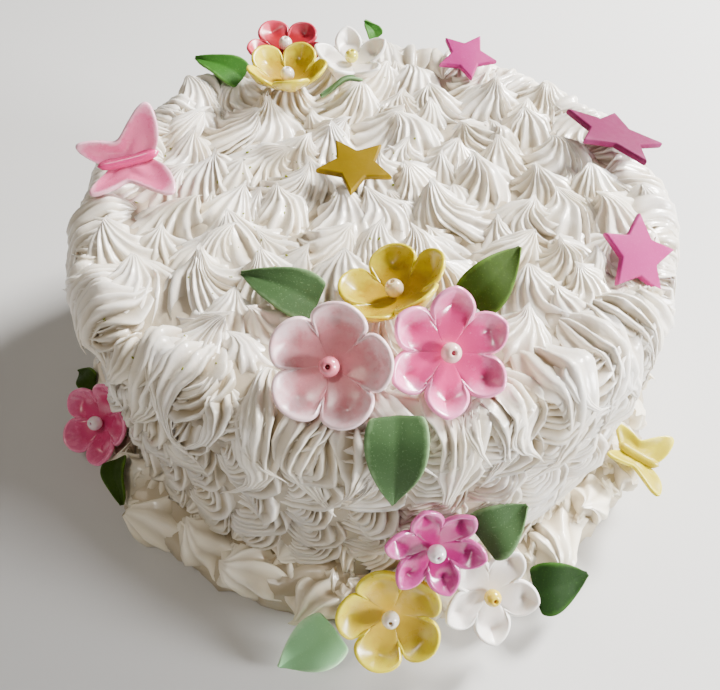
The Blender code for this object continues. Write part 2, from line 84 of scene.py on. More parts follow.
# Distances down the profile, from the middle of the top, where each part of it ends
WALL_TOP_Z = TOP_Z - SHOULDER_RADIUS
WALL_TOP_RADIUS = TOP_FLAT_RADIUS + SHOULDER_RADIUS
SHOULDER_END = TOP_FLAT_RADIUS + SHOULDER_RADIUS * math.pi / 2
WALL_END = SHOULDER_END + WALL_TOP_Z - WALL_FOOT_Z
PROFILE_END = WALL_END + BORDER_TUBE_RADIUS * (BORDER_START - BORDER_END)

# How the piping is spread. Shifts are shares of the spacing, turns are where the peaks lean.
SEED = 11
KISS_SPACING = 0.0245
KISS_ROW_STEP = 0.866
KISS_FIELD_RADIUS = 0.1100
KISS_SHIFT = 0.16
KISS_SIZE_RANGE = (0.88, 1.12)
KISS_TURN = math.radians(95)
KISS_TURN_SPREAD = 0.9
SHELL_SPREAD = 0.120
BETWEEN_SHARE = 0.55
RIM_STROKES = 34
STROKE_SHIFT = 0.15
STROKE_START = -0.013
SWIRL_COLUMNS = 34
SWIRL_ROWS = 6
SWIRL_ROW_HEIGHT = 0.0165
SWIRL_FIRST_Z = 0.0300
SWIRL_SHIFT = 0.4
BORDER_BLOBS = 31
BLOB_SHIFT = 0.15
BLOB_SIZE_RANGE = (0.85, 1.12)
BLOB_PEAK_RANGE = (0.40, 0.75)
LUMPS_PER_BLOB = 3

# How deep a form's foot is sunk in the smooth body, and the thickness of a drawn tip
FOOT_DEPTH = 0.0025
TIP_RADIUS = 0.0003

# A groove cuts into a kiss's flank by this share, and into a stroke's width and thickness by these
KISS_GROOVE = 0.20
STROKE_GROOVES = (0.24, 0.46)

# A stroke: where along it is broadest, how flat it is and how far its tip stands off the wall
STROKE_BROADEST = 0.24
STROKE_FLATNESS = 0.60
STROKE_TIP_LIFT = 0.0062

# Hand-piped cream is never regular: seed, wavelength and size of each uneven field
WOBBLES = ((1, 0.024, 0.0016), (2, 0.0070, 0.00030))

# A swirl: its ridges, where its point lies, how wide its fan opens, its squash and where in a pitch points lie
SWIRL_RIDGES = 7
SWIRL_POINT = (-0.0085, -0.0045)
SWIRL_FAN = math.radians(76)
SWIRL_FAN_TURN = math.radians(38)
SWIRL_SQUASH = 0.74
SWIRL_CREST = 0.8
RIDGE_PHASES = (0.0, 0.28, 0.56, 0.78, 0.92)

# Specks of coloured sugar on the top: how many, and the middle and spread of their places
SPECKS = 90
SPECK_MIDDLE_X = (-0.045, 0.045)
SPECK_MIDDLE_Y = (-0.010, 0.045)

# Cream keeps this far under what lies on it. The seat map has square cells, and a trim holds cream down all
# round it as far as the reach.
GAP = 0.0006
LIMIT_CELL = 0.0010
LIMIT_REACH = 0.0045
LIMIT_HALF_SIZE = 0.300

# Sugar-paste trims. An outline is cut a little small, as thickening spreads it.
PETAL_FIT = 0.985
PETAL_STEPS = 18
PETAL_RINGS = 11
PETAL_SLIT = 0.50
PETAL_ROUNDNESS = 0.18
PETAL_POINT = 1.25
PETAL_FULLNESS = 0.60
PETAL_NARROWING = 0.35
PETAL_CUP_POWER = 1.9
LEAF_BASE = 0.10
LEAF_TIP = 0.06
LEAF_WAVE = 0.0010
LEAF_FOLD = 0.0016
LEAF_FULLNESS = 1.83
LEAF_BASE_POWER = 0.35
LEAF_TAPER_POWER = 0.92
LEAF_ROWS = 22
LEAF_LANES = 11
STAR_POINTS = 5
STAR_WAIST = 0.50
STAR_SOFT_EDGE = 0.0009
BEAD_COLUMNS = 24
BEAD_STEPS = 12
BEAD_HOLE = 0.30
BEAD_LIFT = 0.0008
WING_FIT = 0.975
WING_THICKNESS = 0.0019
WING_COLUMNS = 96
WING_RINGS = 12
BODY_GIRTH = 0.0024
BODY_SHARE = 0.42
# Angle from the head in degrees, and reach as a share of the wing length
WING_OUTLINE = ((0, 0.30), (60, 1.00), (102, 0.38), (146, 0.82), (180, 0.30))

# Each flower: centre, facing, spin in degrees, diameter, petals, pointed share, cup depth, paste
FLOWERS = {
    "rim_pale_pink": ((-0.0142, -0.1042, 0.1300), (-0.14, -0.66, 0.74), -34, 0.0430, 5, 0.1, 0.0060, "pale_pink"),
    "rim_hot_pink": ((0.0241, -0.0995, 0.1312), (0.16, -0.66, 0.74), 0, 0.0440, 6, 0.5, 0.0050, "hot_pink"),
    "rim_yellow": ((0.0090, -0.0690, 0.1250), (-0.30, 0.12, 0.95), 54, 0.0420, 5, 0.1, 0.0095, "yellow"),
    "back_yellow": ((-0.0405, 0.0760, 0.1265), (0.00, 0.00, 1.00), 30, 0.0400, 5, 0.1, 0.0110, "yellow"),
    "back_red": ((-0.0440, 0.1120, 0.1240), (0.02, -0.16, 0.98), 14, 0.0410, 5, 0.3, 0.0040, "red"),
    "back_white": ((-0.0095, 0.0970, 0.1250), (0.05, -0.14, 0.98), -10, 0.0385, 5, 0.9, 0.0080, "white"),
    "wall_magenta": ((0.0224, -0.1367, 0.0632), (0.16, -0.86, 0.48), 22, 0.0400, 6, 0.8, 0.0045, "magenta"),
    "base_yellow": ((0.0070, -0.1510, 0.0325), (-0.03, -0.74, 0.67), 70, 0.0430, 5, 0.1, 0.0060, "yellow"),
    "base_white": ((0.0468, -0.1415, 0.0300), (0.20, -0.74, 0.64), 28, 0.0425, 5, 0.8, 0.0045, "white"),
    "side_crimson": ((-0.1300, -0.0555, 0.0238), (-0.42, -0.58, 0.70), 20, 0.0410, 5, 0.3, 0.0055, "crimson"),
}

# Each leaf: base, tip, upward side, width, arch, paste
LEAVES = {
    "rim_left": ((-0.0205, -0.0700, 0.1230), (-0.0500, -0.0560, 0.1255), (-0.10, -0.30, 0.95), 0.0200, 0.0030, "moss"),
    "rim_right": ((0.0350, -0.0720, 0.1260), (0.0540, -0.0540, 0.1370), (0.20, -0.55, 0.80), 0.0190, 0.0030, "olive"),
    "rim_below": ((0.0070, -0.1195, 0.1235), (0.0065, -0.1350, 0.0920), (0.02, -0.80, 0.60), 0.0220, 0.0050, "moss"),
    "back_left": ((-0.0640, 0.0850, 0.1240), (-0.0895, 0.0985, 0.1280), (-0.10, -0.20, 0.97), 0.0180, 0.0025, "leafy"),
    "back_right": ((0.0040, 0.1200, 0.1270), (-0.0025, 0.1260, 0.1340), (0.20, -0.70, 0.68), 0.0090, 0.0015, "leafy"),
    "back_front": ((-0.0050, 0.0745, 0.1290), (-0.0240, 0.0630, 0.1275), (0.22, 0.55, 0.80), 0.0110, 0.0020, "moss"),
    "wall": ((0.0415, -0.1312, 0.0555), (0.0595, -0.1212, 0.0650), (-0.05, -0.58, 0.81), 0.0220, 0.0020, "moss"),
    "base_right": ((0.0680, -0.1370, 0.0190), (0.0925, -0.1290, 0.0180), (0.25, -0.55, 0.80), 0.0230, 0.0020, "forest"),
    "base_left": ((-0.0150, -0.1520, 0.0170), (-0.0385, -0.1630, 0.0040), (-0.15, -0.72, 0.68), 0.0240, 0.0020, "mint"),
    "side_back": ((-0.140, -0.031, 0.022), (-0.154, -0.017, 0.015), (-0.50, -0.30, 0.81), 0.013, 0.0015, "olive"),
    "side_front": (
        (-0.1180, -0.0775, 0.0260), (-0.1130, -0.0975, 0.0190), (-0.50, -0.50, 0.70), 0.0170, 0.0015, "olive"),
}

# Each star: centre, facing, spin in degrees, diameter, paste
STARS = {
    "middle_gold": ((-0.0070, 0.0060, 0.1290), (0.02, -0.10, 0.99), -96, 0.0350, "gold"),
    "right_mauve": ((0.1095, 0.0290, 0.1290), (0.26, 0.12, 0.96), 2, 0.0490, "mauve"),
    "right_pink": ((0.1050, -0.0420, 0.1215), (0.34, -0.46, 0.82), 18, 0.0360, "rose"),
    "back_rose": ((0.0500, 0.1005, 0.1275), (0.02, -0.30, 0.95), 60, 0.0320, "rose"),
}

# Each butterfly: centre, body direction, upward side, wing length, lift of each side in degrees, paste
BUTTERFLIES = {
    "top_pink": ((-0.1040, 0.0080, 0.1280), (0.95, 0.28, 0.10), (-0.08, -0.20, 0.97), 0.0325, (66, 3), "blush"),
    "base_yellow": ((0.1215, -0.0790, 0.0285), (0.86, -0.44, -0.26), (0.40, 0.10, 0.91), 0.0250, (34, 6), "lemon"),
}

# Sugar pastes: face colour, edge colour, roughness, lustre of the pearl dust on it
PASTES = {
    "pale_pink": ("#ee9aa2", "#f9d8dc", 0.26, 0.60),
    "hot_pink": ("#da3f80", "#f290bd", 0.20, 0.60),
    "yellow": ("#ae8c00", "#d8c800", 0.28, 0.30),
    "red": ("#98121f", "#c83650", 0.34, 0.20),
    "white": ("#e8dfd6", "#f6f1ea", 0.36, 0.25),
    "magenta": ("#ae1c70", "#da5ca8", 0.16, 0.70),
    "crimson": ("#cc3a70", "#ea7aa4", 0.22, 0.50),
    "moss": ("#3c5632", "#6c8a5e", 0.60, 0.00),
    "olive": ("#2a3e06", "#4a6620", 0.64, 0.00),
    "leafy": ("#356622", "#629646", 0.56, 0.00),
    "forest": ("#142c08", "#2e5218", 0.66, 0.00),
    "mint": ("#98d49a", "#c2ecbc", 0.60, 0.00),
    "gold": ("#6e5800", "#8e7600", 0.42, 0.05),
    "mauve": ("#6c1844", "#883662", 0.62, 0.00),
    "rose": ("#a02a6e", "#b84a8a", 0.52, 0.00),
    "blush": ("#d05c86", "#eeb4c6", 0.28, 0.45),
    "lemon": ("#b8a800", "#dcd012", 0.36, 0.15),
    # Painted light in part: a paler copy of the yellow paste for the flower at the front, which lies in shade
    "soft_yellow": ("#d8b636", "#e8d820", 0.28, 0.30),
    "speck": ("#7d8a1a", "#b8a024", 0.50, 0.00),
}

# Flowers given a paler copy of their paste: partly the paste's own paler colour, partly painted light that lifts a
# flower lying in shade at the front
PALER = {"base_yellow": "soft_yellow"}

# Beads in the flowers: bead colour, colour inside the hole, which is darker as painted shade in its hollow
BEADS = {
    "rim_pale_pink": ("#dc7888", "#7a1020"),
    "rim_hot_pink": ("#f0c6be", "#c0405a"),
    "rim_yellow": ("#e8d0a0", "#b8862a"),
    "back_yellow": ("#efe6da", "#b89a60"),
    "back_red": ("#efe2d4", "#9a5a4a"),
    "back_white": ("#d8cf4a", "#8a8a20"),
    "wall_magenta": ("#f4ecee", "#b07a98"),
    "base_yellow": ("#f4ecdc", "#9a703a"),
    "base_white": ("#dcc030", "#a8600e"),
    "side_crimson": ("#f0e2e4", "#a85a70"),
}


class CakeSizes(bpy.types.PropertyGroup):
    """Sizes of the piping and of the sugar-paste trims."""

    kiss_radius: bpy.props.FloatProperty(
        name="Kiss radius", description="Radius of a star-tip kiss on the top", default=0.0165, unit="LENGTH")
    kiss_height: bpy.props.FloatProperty(
        name="Kiss height", description="Height of a kiss over the cake's top", default=0.0108, unit="LENGTH")
    kiss_lean: bpy.props.FloatProperty(
        name="Kiss lean", description="How far a kiss's peak is drawn aside", default=0.0118, unit="LENGTH")
    stroke_half_width: bpy.props.FloatProperty(
        name="Stroke half width", description="Half the width of a stroke over the rim", default=0.0138, unit="LENGTH")
    stroke_height: bpy.props.FloatProperty(
        name="Stroke height", description="Height of a stroke over the smooth body", default=0.0086, unit="LENGTH")
    stroke_length: bpy.props.FloatProperty(
        name="Stroke length", description="Length of a stroke from the top's edge", default=0.0460, unit="LENGTH")
    stroke_spread: bpy.props.FloatProperty(
        name="Stroke spread", description="How much the strokes' lengths differ", default=0.0100, unit="LENGTH")
    swirl_relief: bpy.props.FloatProperty(
        name="Swirl relief", description="Height of a wall swirl over the smooth body", default=0.0050, unit="LENGTH")
    swirl_pitch: bpy.props.FloatProperty(
        name="Swirl pitch", description="Distance between a swirl's ridges", default=0.00275, unit="LENGTH")
    swirl_ridge: bpy.props.FloatProperty(
        name="Swirl ridge", description="Height of a ridge in a wall swirl", default=0.0030, unit="LENGTH")
    blob_radius: bpy.props.FloatProperty(
        name="Border radius", description="Radius of a kiss of the border", default=0.0168, unit="LENGTH")
    blob_height: bpy.props.FloatProperty(
        name="Border height", description="Height of a kiss of the border", default=0.0097, unit="LENGTH")
    petal_thickness: bpy.props.FloatProperty(
        name="Petal thickness", description="Thickness of the rolled paste", default=0.0018, unit="LENGTH")
    leaf_thickness: bpy.props.FloatProperty(
        name="Leaf thickness", description="Thickness of a leaf", default=0.0013, unit="LENGTH")
    star_thickness: bpy.props.FloatProperty(
        name="Star thickness", description="Thickness of a star", default=0.0030, unit="LENGTH")
    bead_radius: bpy.props.FloatProperty(
        name="Bead radius", description="Radius of the bead in a flower", default=0.0035, unit="LENGTH")


class CakeColours(bpy.types.PropertyGroup):
    """Colours of the cream."""

    cream: bpy.props.StringProperty(
        name="Cream", description="Colour of the whipped cream, as an sRGB hex value", default="#f5efe5")
    cream_shade: bpy.props.StringProperty(
        name="Cream folds", description="Colour of the cream where it is thin and wet", default="#eee4d0")
    cream_warm: bpy.props.StringProperty(
        name="Warm cream", description="Colour of the yellower cream round the foot", default="#f6e8be")
    # Painted shade: the darker colour mixed into the cream's grooves, feet and undersides, where shade falls
    cream_groove_shade: bpy.props.StringProperty(
        name="Cream grooves", description="Colour deep in the grooves, where the cream is thin", default="#8f7a52")
    floor: bpy.props.StringProperty(
        name="Floor", description="Colour of the floor", default="#cfcecc")


def linear(colour):
    """Linear red, green and blue of an sRGB hex value."""
    values = [int(colour[i:i + 2], 16) / 255 for i in (1, 3, 5)]
    return [v / 12.92 if v <= 0.04045 else ((v + 0.055) / 1.055) ** 2.4 for v in values]


def node(tree, kind, settings=None, inputs=None, links=None, stops=()):
    """Adds a shader node with its settings, input values, links from other nodes and a ramp's two stops."""
    made = tree.nodes.new(kind)
    for key, value in (settings or {}).items():
        setattr(made, key, value)
    for key, value in (inputs or {}).items():
        made.inputs[key].default_value = value
    for key, (other, output) in (links or {}).items():
        tree.links.new(other.outputs[output], made.inputs[key])
    for i, (place, colour) in enumerate(stops):
        made.color_ramp.elements[i].position = place
        made.color_ramp.elements[i].color = (*linear(colour), 1.0)
    return made


# The inputs of a Map Range node, in their order
RANGE = ("From Min", "From Max", "To Min", "To Max")


def new_material(name):
    """An empty node material with its output, and the material's node tree."""
    material = bpy.data.materials.new(name)
    material.use_nodes = True
    tree = material.node_tree
    tree.nodes.clear()
    return material, tree


def whipped_cream():
    """Whipped cream piped through a star tip: soft, white, a little wet, and light goes about a millimetre in."""
    colours = bpy.context.scene.cake_colours
    material, tree = new_material("whipped_cream")
    where = node(tree, "ShaderNodeTexCoord")
    # Patches of thinner and thicker cream, about 25 mm across, drag marks, about 4 mm, and air bubbles, about
    # 0.5 mm across and drawn a little coarser so that they show
    patches, drag, bubbles = (
        node(tree, "ShaderNodeTexNoise", inputs={"Scale": scale, "Detail": detail, "Roughness": rough},
             links={"Vector": (where, "Object")})
        for scale, detail, rough in ((40.0, 3.0, 0.55), (260.0, 3.0, 0.6), (1300.0, 2.0, 0.6)))
    tint = node(
        tree, "ShaderNodeValToRGB", links={"Fac": (patches, "Fac")},
        stops=((0.30, colours.cream_shade), (0.62, colours.cream)))
    # The cream is yellower low down, round the foot
    place = node(tree, "ShaderNodeSeparateXYZ", links={"Vector": (where, "Object")})
    low = node(
        tree, "ShaderNodeMapRange", inputs=dict(zip(RANGE, (0.006, 0.042, 1.1, 0.0))), links={"Value": (place, "Z")})
    spread = node(
        tree, "ShaderNodeMath", {"operation": "MULTIPLY"}, links={0: (low, "Result"), 1: (patches, "Fac")})
    warm = node(
        tree, "ShaderNodeMix", {"data_type": "RGBA"}, inputs={7: (*linear(colours.cream_warm), 1.0)},
        links={0: (spread, "Value"), 6: (tint, "Color")})
    # Deep in the grooves the cream is thin and shows its butter
    # Painted shade: the 'share' attribute darkens the cream deep in the grooves, at the feet of the forms, under the
    # strokes and on the body between them
    share = node(tree, "ShaderNodeAttribute", {"attribute_name": "share"})
    depth = node(
        tree, "ShaderNodeMapRange", inputs=dict(zip(RANGE, (0.22, 1.0, 0.0, 0.9))), links={"Value": (share, "Fac")})
    groove_shaded = node(
        tree, "ShaderNodeMix", {"data_type": "RGBA"}, inputs={7: (*linear(colours.cream_groove_shade), 1.0)},
        links={0: (depth, "Result"), 6: (warm, 2)})
    coarse = node(
        tree, "ShaderNodeBump", inputs={"Strength": 0.30, "Distance": 0.0006}, links={"Height": (drag, "Fac")})
    fine = node(
        tree, "ShaderNodeBump", inputs={"Strength": 0.22, "Distance": 0.00022},
        links={"Height": (bubbles, "Fac"), "Normal": (coarse, "Normal")})
    gloss = node(
        tree, "ShaderNodeMapRange", inputs=dict(zip(RANGE, (0.3, 0.7, 0.30, 0.46))), links={"Value": (drag, "Fac")})
    shader = node(
        tree, "ShaderNodeBsdfPrincipled",
        inputs={"IOR": 1.45, "Subsurface Weight": 0.18, "Subsurface Radius": (1.0, 0.85, 0.65),
                "Subsurface Scale": 0.0008, "Coat Weight": 0.40, "Coat Roughness": 0.14},
        links={"Base Color": (groove_shaded, 2), "Roughness": (gloss, "Result"), "Normal": (fine, "Normal")})
    node(tree, "ShaderNodeOutputMaterial", links={"Surface": (shader, "BSDF")})
    return material


def sugar_paste(name, face, edge, roughness, lustre):
    """Rolled sugar paste: matte and smooth, paler at a thin edge, with pearl dust brushed on where it has lustre."""
    material, tree = new_material("sugar_paste_" + name)
    where = node(tree, "ShaderNodeTexCoord")
    share = node(tree, "ShaderNodeAttribute", {"attribute_name": "share"})
    # Brushed dust lies unevenly, in patches about 4 mm across. Finger dents are about 8 mm. Sugar grains, about
    # 0.3 mm, are drawn coarser on the dry leaves so that they show.
    patches, dents, grains = (
        node(tree, "ShaderNodeTexNoise", inputs={"Scale": scale, "Detail": detail, "Roughness": rough},
             links={"Vector": (where, "Object")})
        for scale, detail, rough in (
            (260.0, 4.0, 0.6), (130.0, 2.0, 0.5), (2200.0 if lustre else 1400.0, 2.0, 0.7)))
    uneven = node(
        tree, "ShaderNodeMapRange", inputs=dict(zip(RANGE, (0.3, 0.7, -0.16, 0.16))),
        links={"Value": (patches, "Fac")})
    paler = node(
        tree, "ShaderNodeMath", {"operation": "ADD", "use_clamp": True},
        links={0: (share, "Fac"), 1: (uneven, "Result")})
    tint = node(tree, "ShaderNodeValToRGB", links={"Fac": (paler, "Value")}, stops=((0.50, face), (1.0, edge)))
    speckle = node(
        tree, "ShaderNodeMapRange",
        inputs=dict(zip(RANGE, (0.60, 0.72, 0.0, 0.2 if lustre else 0.5))),
        links={"Value": (grains, "Fac")})
    dusted = node(
        tree, "ShaderNodeMix", {"data_type": "RGBA"}, inputs={7: (*linear(edge), 1.0)},
        links={0: (speckle, "Result"), 6: (tint, "Color")})
    rolled = node(
        tree, "ShaderNodeBump", inputs={"Strength": 0.25, "Distance": 0.0008}, links={"Height": (dents, "Fac")})
    grain = node(
        tree, "ShaderNodeBump", inputs={"Strength": 0.14, "Distance": 0.00015},
        links={"Height": (grains, "Fac"), "Normal": (rolled, "Normal")})
    finish = node(
        tree, "ShaderNodeMapRange",
        inputs=dict(zip(RANGE, (0.3, 0.7, roughness - 0.05, roughness + 0.10))),
        links={"Value": (patches, "Fac")})
    shader = node(
        tree, "ShaderNodeBsdfPrincipled",
        inputs={"IOR": 1.50, "Subsurface Weight": 0.12, "Subsurface Radius": (1.0, 0.6, 0.5),
                "Subsurface Scale": 0.0012, "Coat Weight": lustre, "Coat Roughness": 0.20, "Coat IOR": 1.55,
                "Sheen Weight": 0.25 * lustre, "Sheen Roughness": 0.35,
                # Dry paste without dust hardly shines
                "Specular IOR Level": 0.5 if lustre > 0.1 else 0.12},
        links={"Base Color": (dusted, 2), "Roughness": (finish, "Result"), "Normal": (grain, "Normal")})
    node(tree, "ShaderNodeOutputMaterial", links={"Surface": (shader, "BSDF")})
    return material


def sugar_bead(name, outside, inside):
    """A sugar bead with a pearl glaze: its hole is darker, painted shade in the hollow, in some flowers tinted towards
    the paste under it.
    """
    material, tree = new_material("sugar_bead_" + name)
    share = node(tree, "ShaderNodeAttribute", {"attribute_name": "share"})
    # Painted shade: the colour inside the hole is darker than the bead
    tint = node(tree, "ShaderNodeValToRGB", links={"Fac": (share, "Fac")}, stops=((0.10, inside), (0.30, outside)))
    shader = node(
        tree, "ShaderNodeBsdfPrincipled",
        inputs={"Roughness": 0.22, "IOR": 1.55, "Coat Weight": 0.7, "Coat Roughness": 0.10,
                "Subsurface Weight": 0.15, "Subsurface Scale": 0.001},
        links={"Base Color": (tint, "Color")})
    node(tree, "ShaderNodeOutputMaterial", links={"Surface": (shader, "BSDF")})
    return material


def profile_radius(along):
    """Radius of the smooth body at distances along the profile."""
    return roll(np.zeros_like(along), along, np.zeros_like(along))[..., 0]


def roll(angle, along, height):
    """Points in the frame from the angle round the cake, the distance down its profile and the height over it."""
    along = np.clip(along, 0.0, PROFILE_END)
    lean = np.clip((along - TOP_FLAT_RADIUS) / SHOULDER_RADIUS, 0.0, math.pi / 2)
    radius = np.minimum(along, TOP_FLAT_RADIUS) + SHOULDER_RADIUS * np.sin(lean)
    z = WALL_TOP_Z + SHOULDER_RADIUS * np.cos(lean)
    out, up = np.sin(lean), np.cos(lean)
    down = np.clip(along - SHOULDER_END, 0.0, WALL_TOP_Z - WALL_FOOT_Z)
    radius = radius + (WALL_FOOT_RADIUS - WALL_TOP_RADIUS) * down / (WALL_TOP_Z - WALL_FOOT_Z)
    z = z - down
    turn = BORDER_START - (along - WALL_END) / BORDER_TUBE_RADIUS
    on_border = along > WALL_END
    radius = np.where(on_border, BORDER_RING_RADIUS + BORDER_TUBE_RADIUS * np.cos(turn), radius)
    z = np.where(on_border, BORDER_RING_Z + BORDER_TUBE_RADIUS * np.sin(turn), z)
    out = np.where(on_border, np.cos(turn), out)
    up = np.where(on_border, np.sin(turn), up)
    reach = radius + out * height
    z = np.maximum(z + up * height, 0.0)
    return np.stack([reach * np.cos(angle), reach * np.sin(angle), z], axis=-1)


def unroll(points):
    """The angle, the distance down the profile and the height over it of points in the frame."""
    angle = np.arctan2(points[:, 1], points[:, 0])
    radius = np.hypot(points[:, 0], points[:, 1])
    z = points[:, 2]
    away = radius - TOP_FLAT_RADIUS
    over = z - WALL_TOP_Z
    lean = np.clip(np.arctan2(away, np.maximum(over, 1e-6)), 0.0, math.pi / 2)
    on_top = away <= 0
    along = np.where(on_top, radius, TOP_FLAT_RADIUS + SHOULDER_RADIUS * lean)
    height = np.where(on_top, z - TOP_Z, np.hypot(away, over) - SHOULDER_RADIUS)
    on_wall = (over <= 0) & (z > WALL_FOOT_Z)
    along = np.where(on_wall, SHOULDER_END - over, along)
    height = np.where(on_wall, radius - WALL_TOP_RADIUS, height)
    low = z <= WALL_FOOT_Z
    turn = np.arctan2(z - BORDER_RING_Z, radius - BORDER_RING_RADIUS)
    along = np.where(low, WALL_END + BORDER_TUBE_RADIUS * (BORDER_START - turn), along)
    height = np.where(low, np.hypot(z - BORDER_RING_Z, radius - BORDER_RING_RADIUS) - BORDER_TUBE_RADIUS, height)
    return angle, along, height


def surface_points(mesh):
    """A mesh's vertices, and points spread over those of its faces that are larger than the seat map's reach."""
    vertices = np.empty(len(mesh.vertices) * 3)
    mesh.vertices.foreach_get("co", vertices)
    vertices = vertices.reshape(-1, 3)
    mesh.calc_loop_triangles()
    corners = np.empty(len(mesh.loop_triangles) * 3, dtype=int)
    mesh.loop_triangles.foreach_get("vertices", corners)
    triangles = vertices[corners.reshape(-1, 3)]
    longest = np.linalg.norm(triangles - np.roll(triangles, 1, axis=1), axis=2).max(axis=1)
    large = triangles[longest > LIMIT_REACH]
    points = [vertices]
    steps = 10
    for i in range(steps + 1):
        for j in range(steps + 1 - i):
            a, b = i / steps, j / steps
            points.append(large[:, 0] * (1 - a - b) + large[:, 1] * a + large[:, 2] * b)
    return np.concatenate(points)


def seat_map():
    """How high the cream may stand at each place, on a flat map of the unrolled cake, under the trims built so far."""
    size = round(2 * LIMIT_HALF_SIZE / LIMIT_CELL)
    limits = np.full((size, size), 1.0)
    parts = []
    for obj in bpy.context.scene.objects:
        if "trim" in obj:
            parts.append(surface_points(obj.data))
    angle, along, height = unroll(np.concatenate(parts))
    column = np.round((along * np.cos(angle) + LIMIT_HALF_SIZE) / LIMIT_CELL).astype(int)
    row = np.round((along * np.sin(angle) + LIMIT_HALF_SIZE) / LIMIT_CELL).astype(int)
    reach = round(LIMIT_REACH / LIMIT_CELL)
    for i in range(-reach, reach + 1):
        for j in range(-reach, reach + 1):
            if math.hypot(i, j) <= reach + 0.5:
                np.minimum.at(limits, (np.clip(row + i, 0, size - 1), np.clip(column + j, 0, size - 1)), height)
    return limits


def seated(limits, angle, along, height):
    """The heights, held under the trims."""
    column = np.round((along * np.cos(angle) + LIMIT_HALF_SIZE) / LIMIT_CELL).astype(int)
    row = np.round((along * np.sin(angle) + LIMIT_HALF_SIZE) / LIMIT_CELL).astype(int)
    size = len(limits)
    limit = limits[np.clip(row, 0, size - 1), np.clip(column, 0, size - 1)]
    return np.minimum(height, limit - GAP)


def grid_faces(rows, columns, closed, start):
    """Quads of a grid of vertices, row by row; a closed grid joins its last column to its first."""
    r = np.arange(rows - 1)[:, None]
    c = np.arange(columns if closed else columns - 1)[None, :]
    a = start + r * columns + c
    b = start + r * columns + (c + 1) % columns
    return np.stack([a, b, b + columns, a + columns], axis=-1).reshape(-1, 4)


def disc_faces(rings, columns):
    """Faces of rings of vertices round a middle vertex, which is the first."""
    return [(0, 1 + i, 1 + (i + 1) % columns) for i in range(columns)] + list(grid_faces(rings, columns, True, 1))


def grid_rims(rows, columns, closed):
    """The rows of vertices that bound a grid: both ends of a closed grid, or the way round an open one."""
    number = np.arange(rows * columns).reshape(rows, columns)
    if closed:
        return number[0], number[-1]
    return (np.concatenate([number[0, :-1], number[:-1, -1], number[-1, :0:-1], number[:0:-1, 0]]),)


def finish_piece(obj, name, material, stands_for=()):
    """Names a finished piece and says what it rides on, stands for and takes its finish from."""
    obj.name = name
    obj.data.name = name
    obj.data.materials.clear()
    obj.data.materials.append(material)
    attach(obj, "root")
    if stands_for:
        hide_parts(*stands_for)
    return obj


def mesh_object(name, vertices, faces, share=None):
    """A smooth mesh object from arrays of vertices and faces, its faces turned outwards."""
    mesh = bpy.data.meshes.new(name)
    mesh.from_pydata([tuple(v) for v in vertices], [], [tuple(int(i) for i in f) for f in faces])
    if share is not None:
        mesh.attributes.new("share", "FLOAT", "POINT").data.foreach_set("value", np.array(share, dtype=np.float32))
    body = bmesh.new()
    body.from_mesh(mesh)
    bmesh.ops.recalc_face_normals(body, faces=body.faces)
    body.to_mesh(mesh)
    body.free()
    mesh.shade_smooth()
    obj = bpy.data.objects.new(name, mesh)
    bpy.context.scene.collection.objects.link(obj)
    return obj


def cream_piece(name, forms, limits, material, stands_for=()):
    """One piece of cream from forms, each an array of (angle, along, height, fold) with a mark for a closed grid; fold
    is the share of painted shade.

    A point in the middle of each rim closes the form at its tip and under its foot.
    """
    vertices = []
    shares = []
    faces = []
    start = 0
    for grid, closed in forms:
        rows, columns = grid.shape[:2]
        angle, along, height, fold = grid.reshape(-1, 4).T
        # The fold share, painted shade, goes to the 'share' attribute that darkens the cream
        shares.append(fold)
        points = roll(angle, along, height)
        for field in WOBBLES:
            points = wobble(points, *field)
        angle, along, height = unroll(points)
        points = roll(angle, along, seated(limits, angle, along, height))
        vertices.append(points)
        faces.extend(grid_faces(rows, columns, closed, start))
        middle = start + rows * columns
        for rim in grid_rims(rows, columns, closed):
            vertices.append(points[rim].mean(axis=0, keepdims=True))
            shares.append(fold[rim].mean(keepdims=True))
            faces.extend(np.stack([start + rim, start + np.roll(rim, -1), np.full(len(rim), middle)], axis=-1))
            middle += 1
        start = middle
    obj = mesh_object(name, np.concatenate(vertices), faces, np.concatenate(shares))
    return finish_piece(obj, name, material, stands_for)


def apply_modifiers(obj):
    """Applies an object's modifiers in their order."""
    bpy.ops.object.select_all(action="DESELECT")
    obj.select_set(True)
    bpy.context.view_layer.objects.active = obj
    for modifier in list(obj.modifiers):
        bpy.ops.object.modifier_apply(modifier=modifier.name)


def uneven_flutes(flutes, columns, draw):
    """For each column of a fluted form: its share of the way round, how deep in a groove it is and its flute's size."""
    widths = np.array([draw.uniform(0.65, 1.35) for _ in range(flutes)])
    starts = np.concatenate([[0.0], np.cumsum(widths)]) / widths.sum()
    depths = np.array([draw.uniform(0.55, 1.35) for _ in range(flutes)])
    sizes = np.array([draw.uniform(0.78, 1.20) for _ in range(flutes)])
    index = np.repeat(np.arange(flutes), columns)
    inside = np.tile(np.arange(columns) / columns, flutes)
    way = starts[index] + (starts[index + 1] - starts[index]) * inside
    off = np.abs(2 * inside - 1)
    beside = np.where(inside < 0.5, (index - 1) % flutes, (index + 1) % flutes)
    depth = np.where(inside < 0.5, depths[index], depths[(index + 1) % flutes])
    size = sizes[index] + (np.minimum(sizes[index], sizes[beside]) - sizes[index]) * off ** 2
    return way[None, :], (depth * (1 - (1 - off) ** 1.3))[None, :], size[None, :]


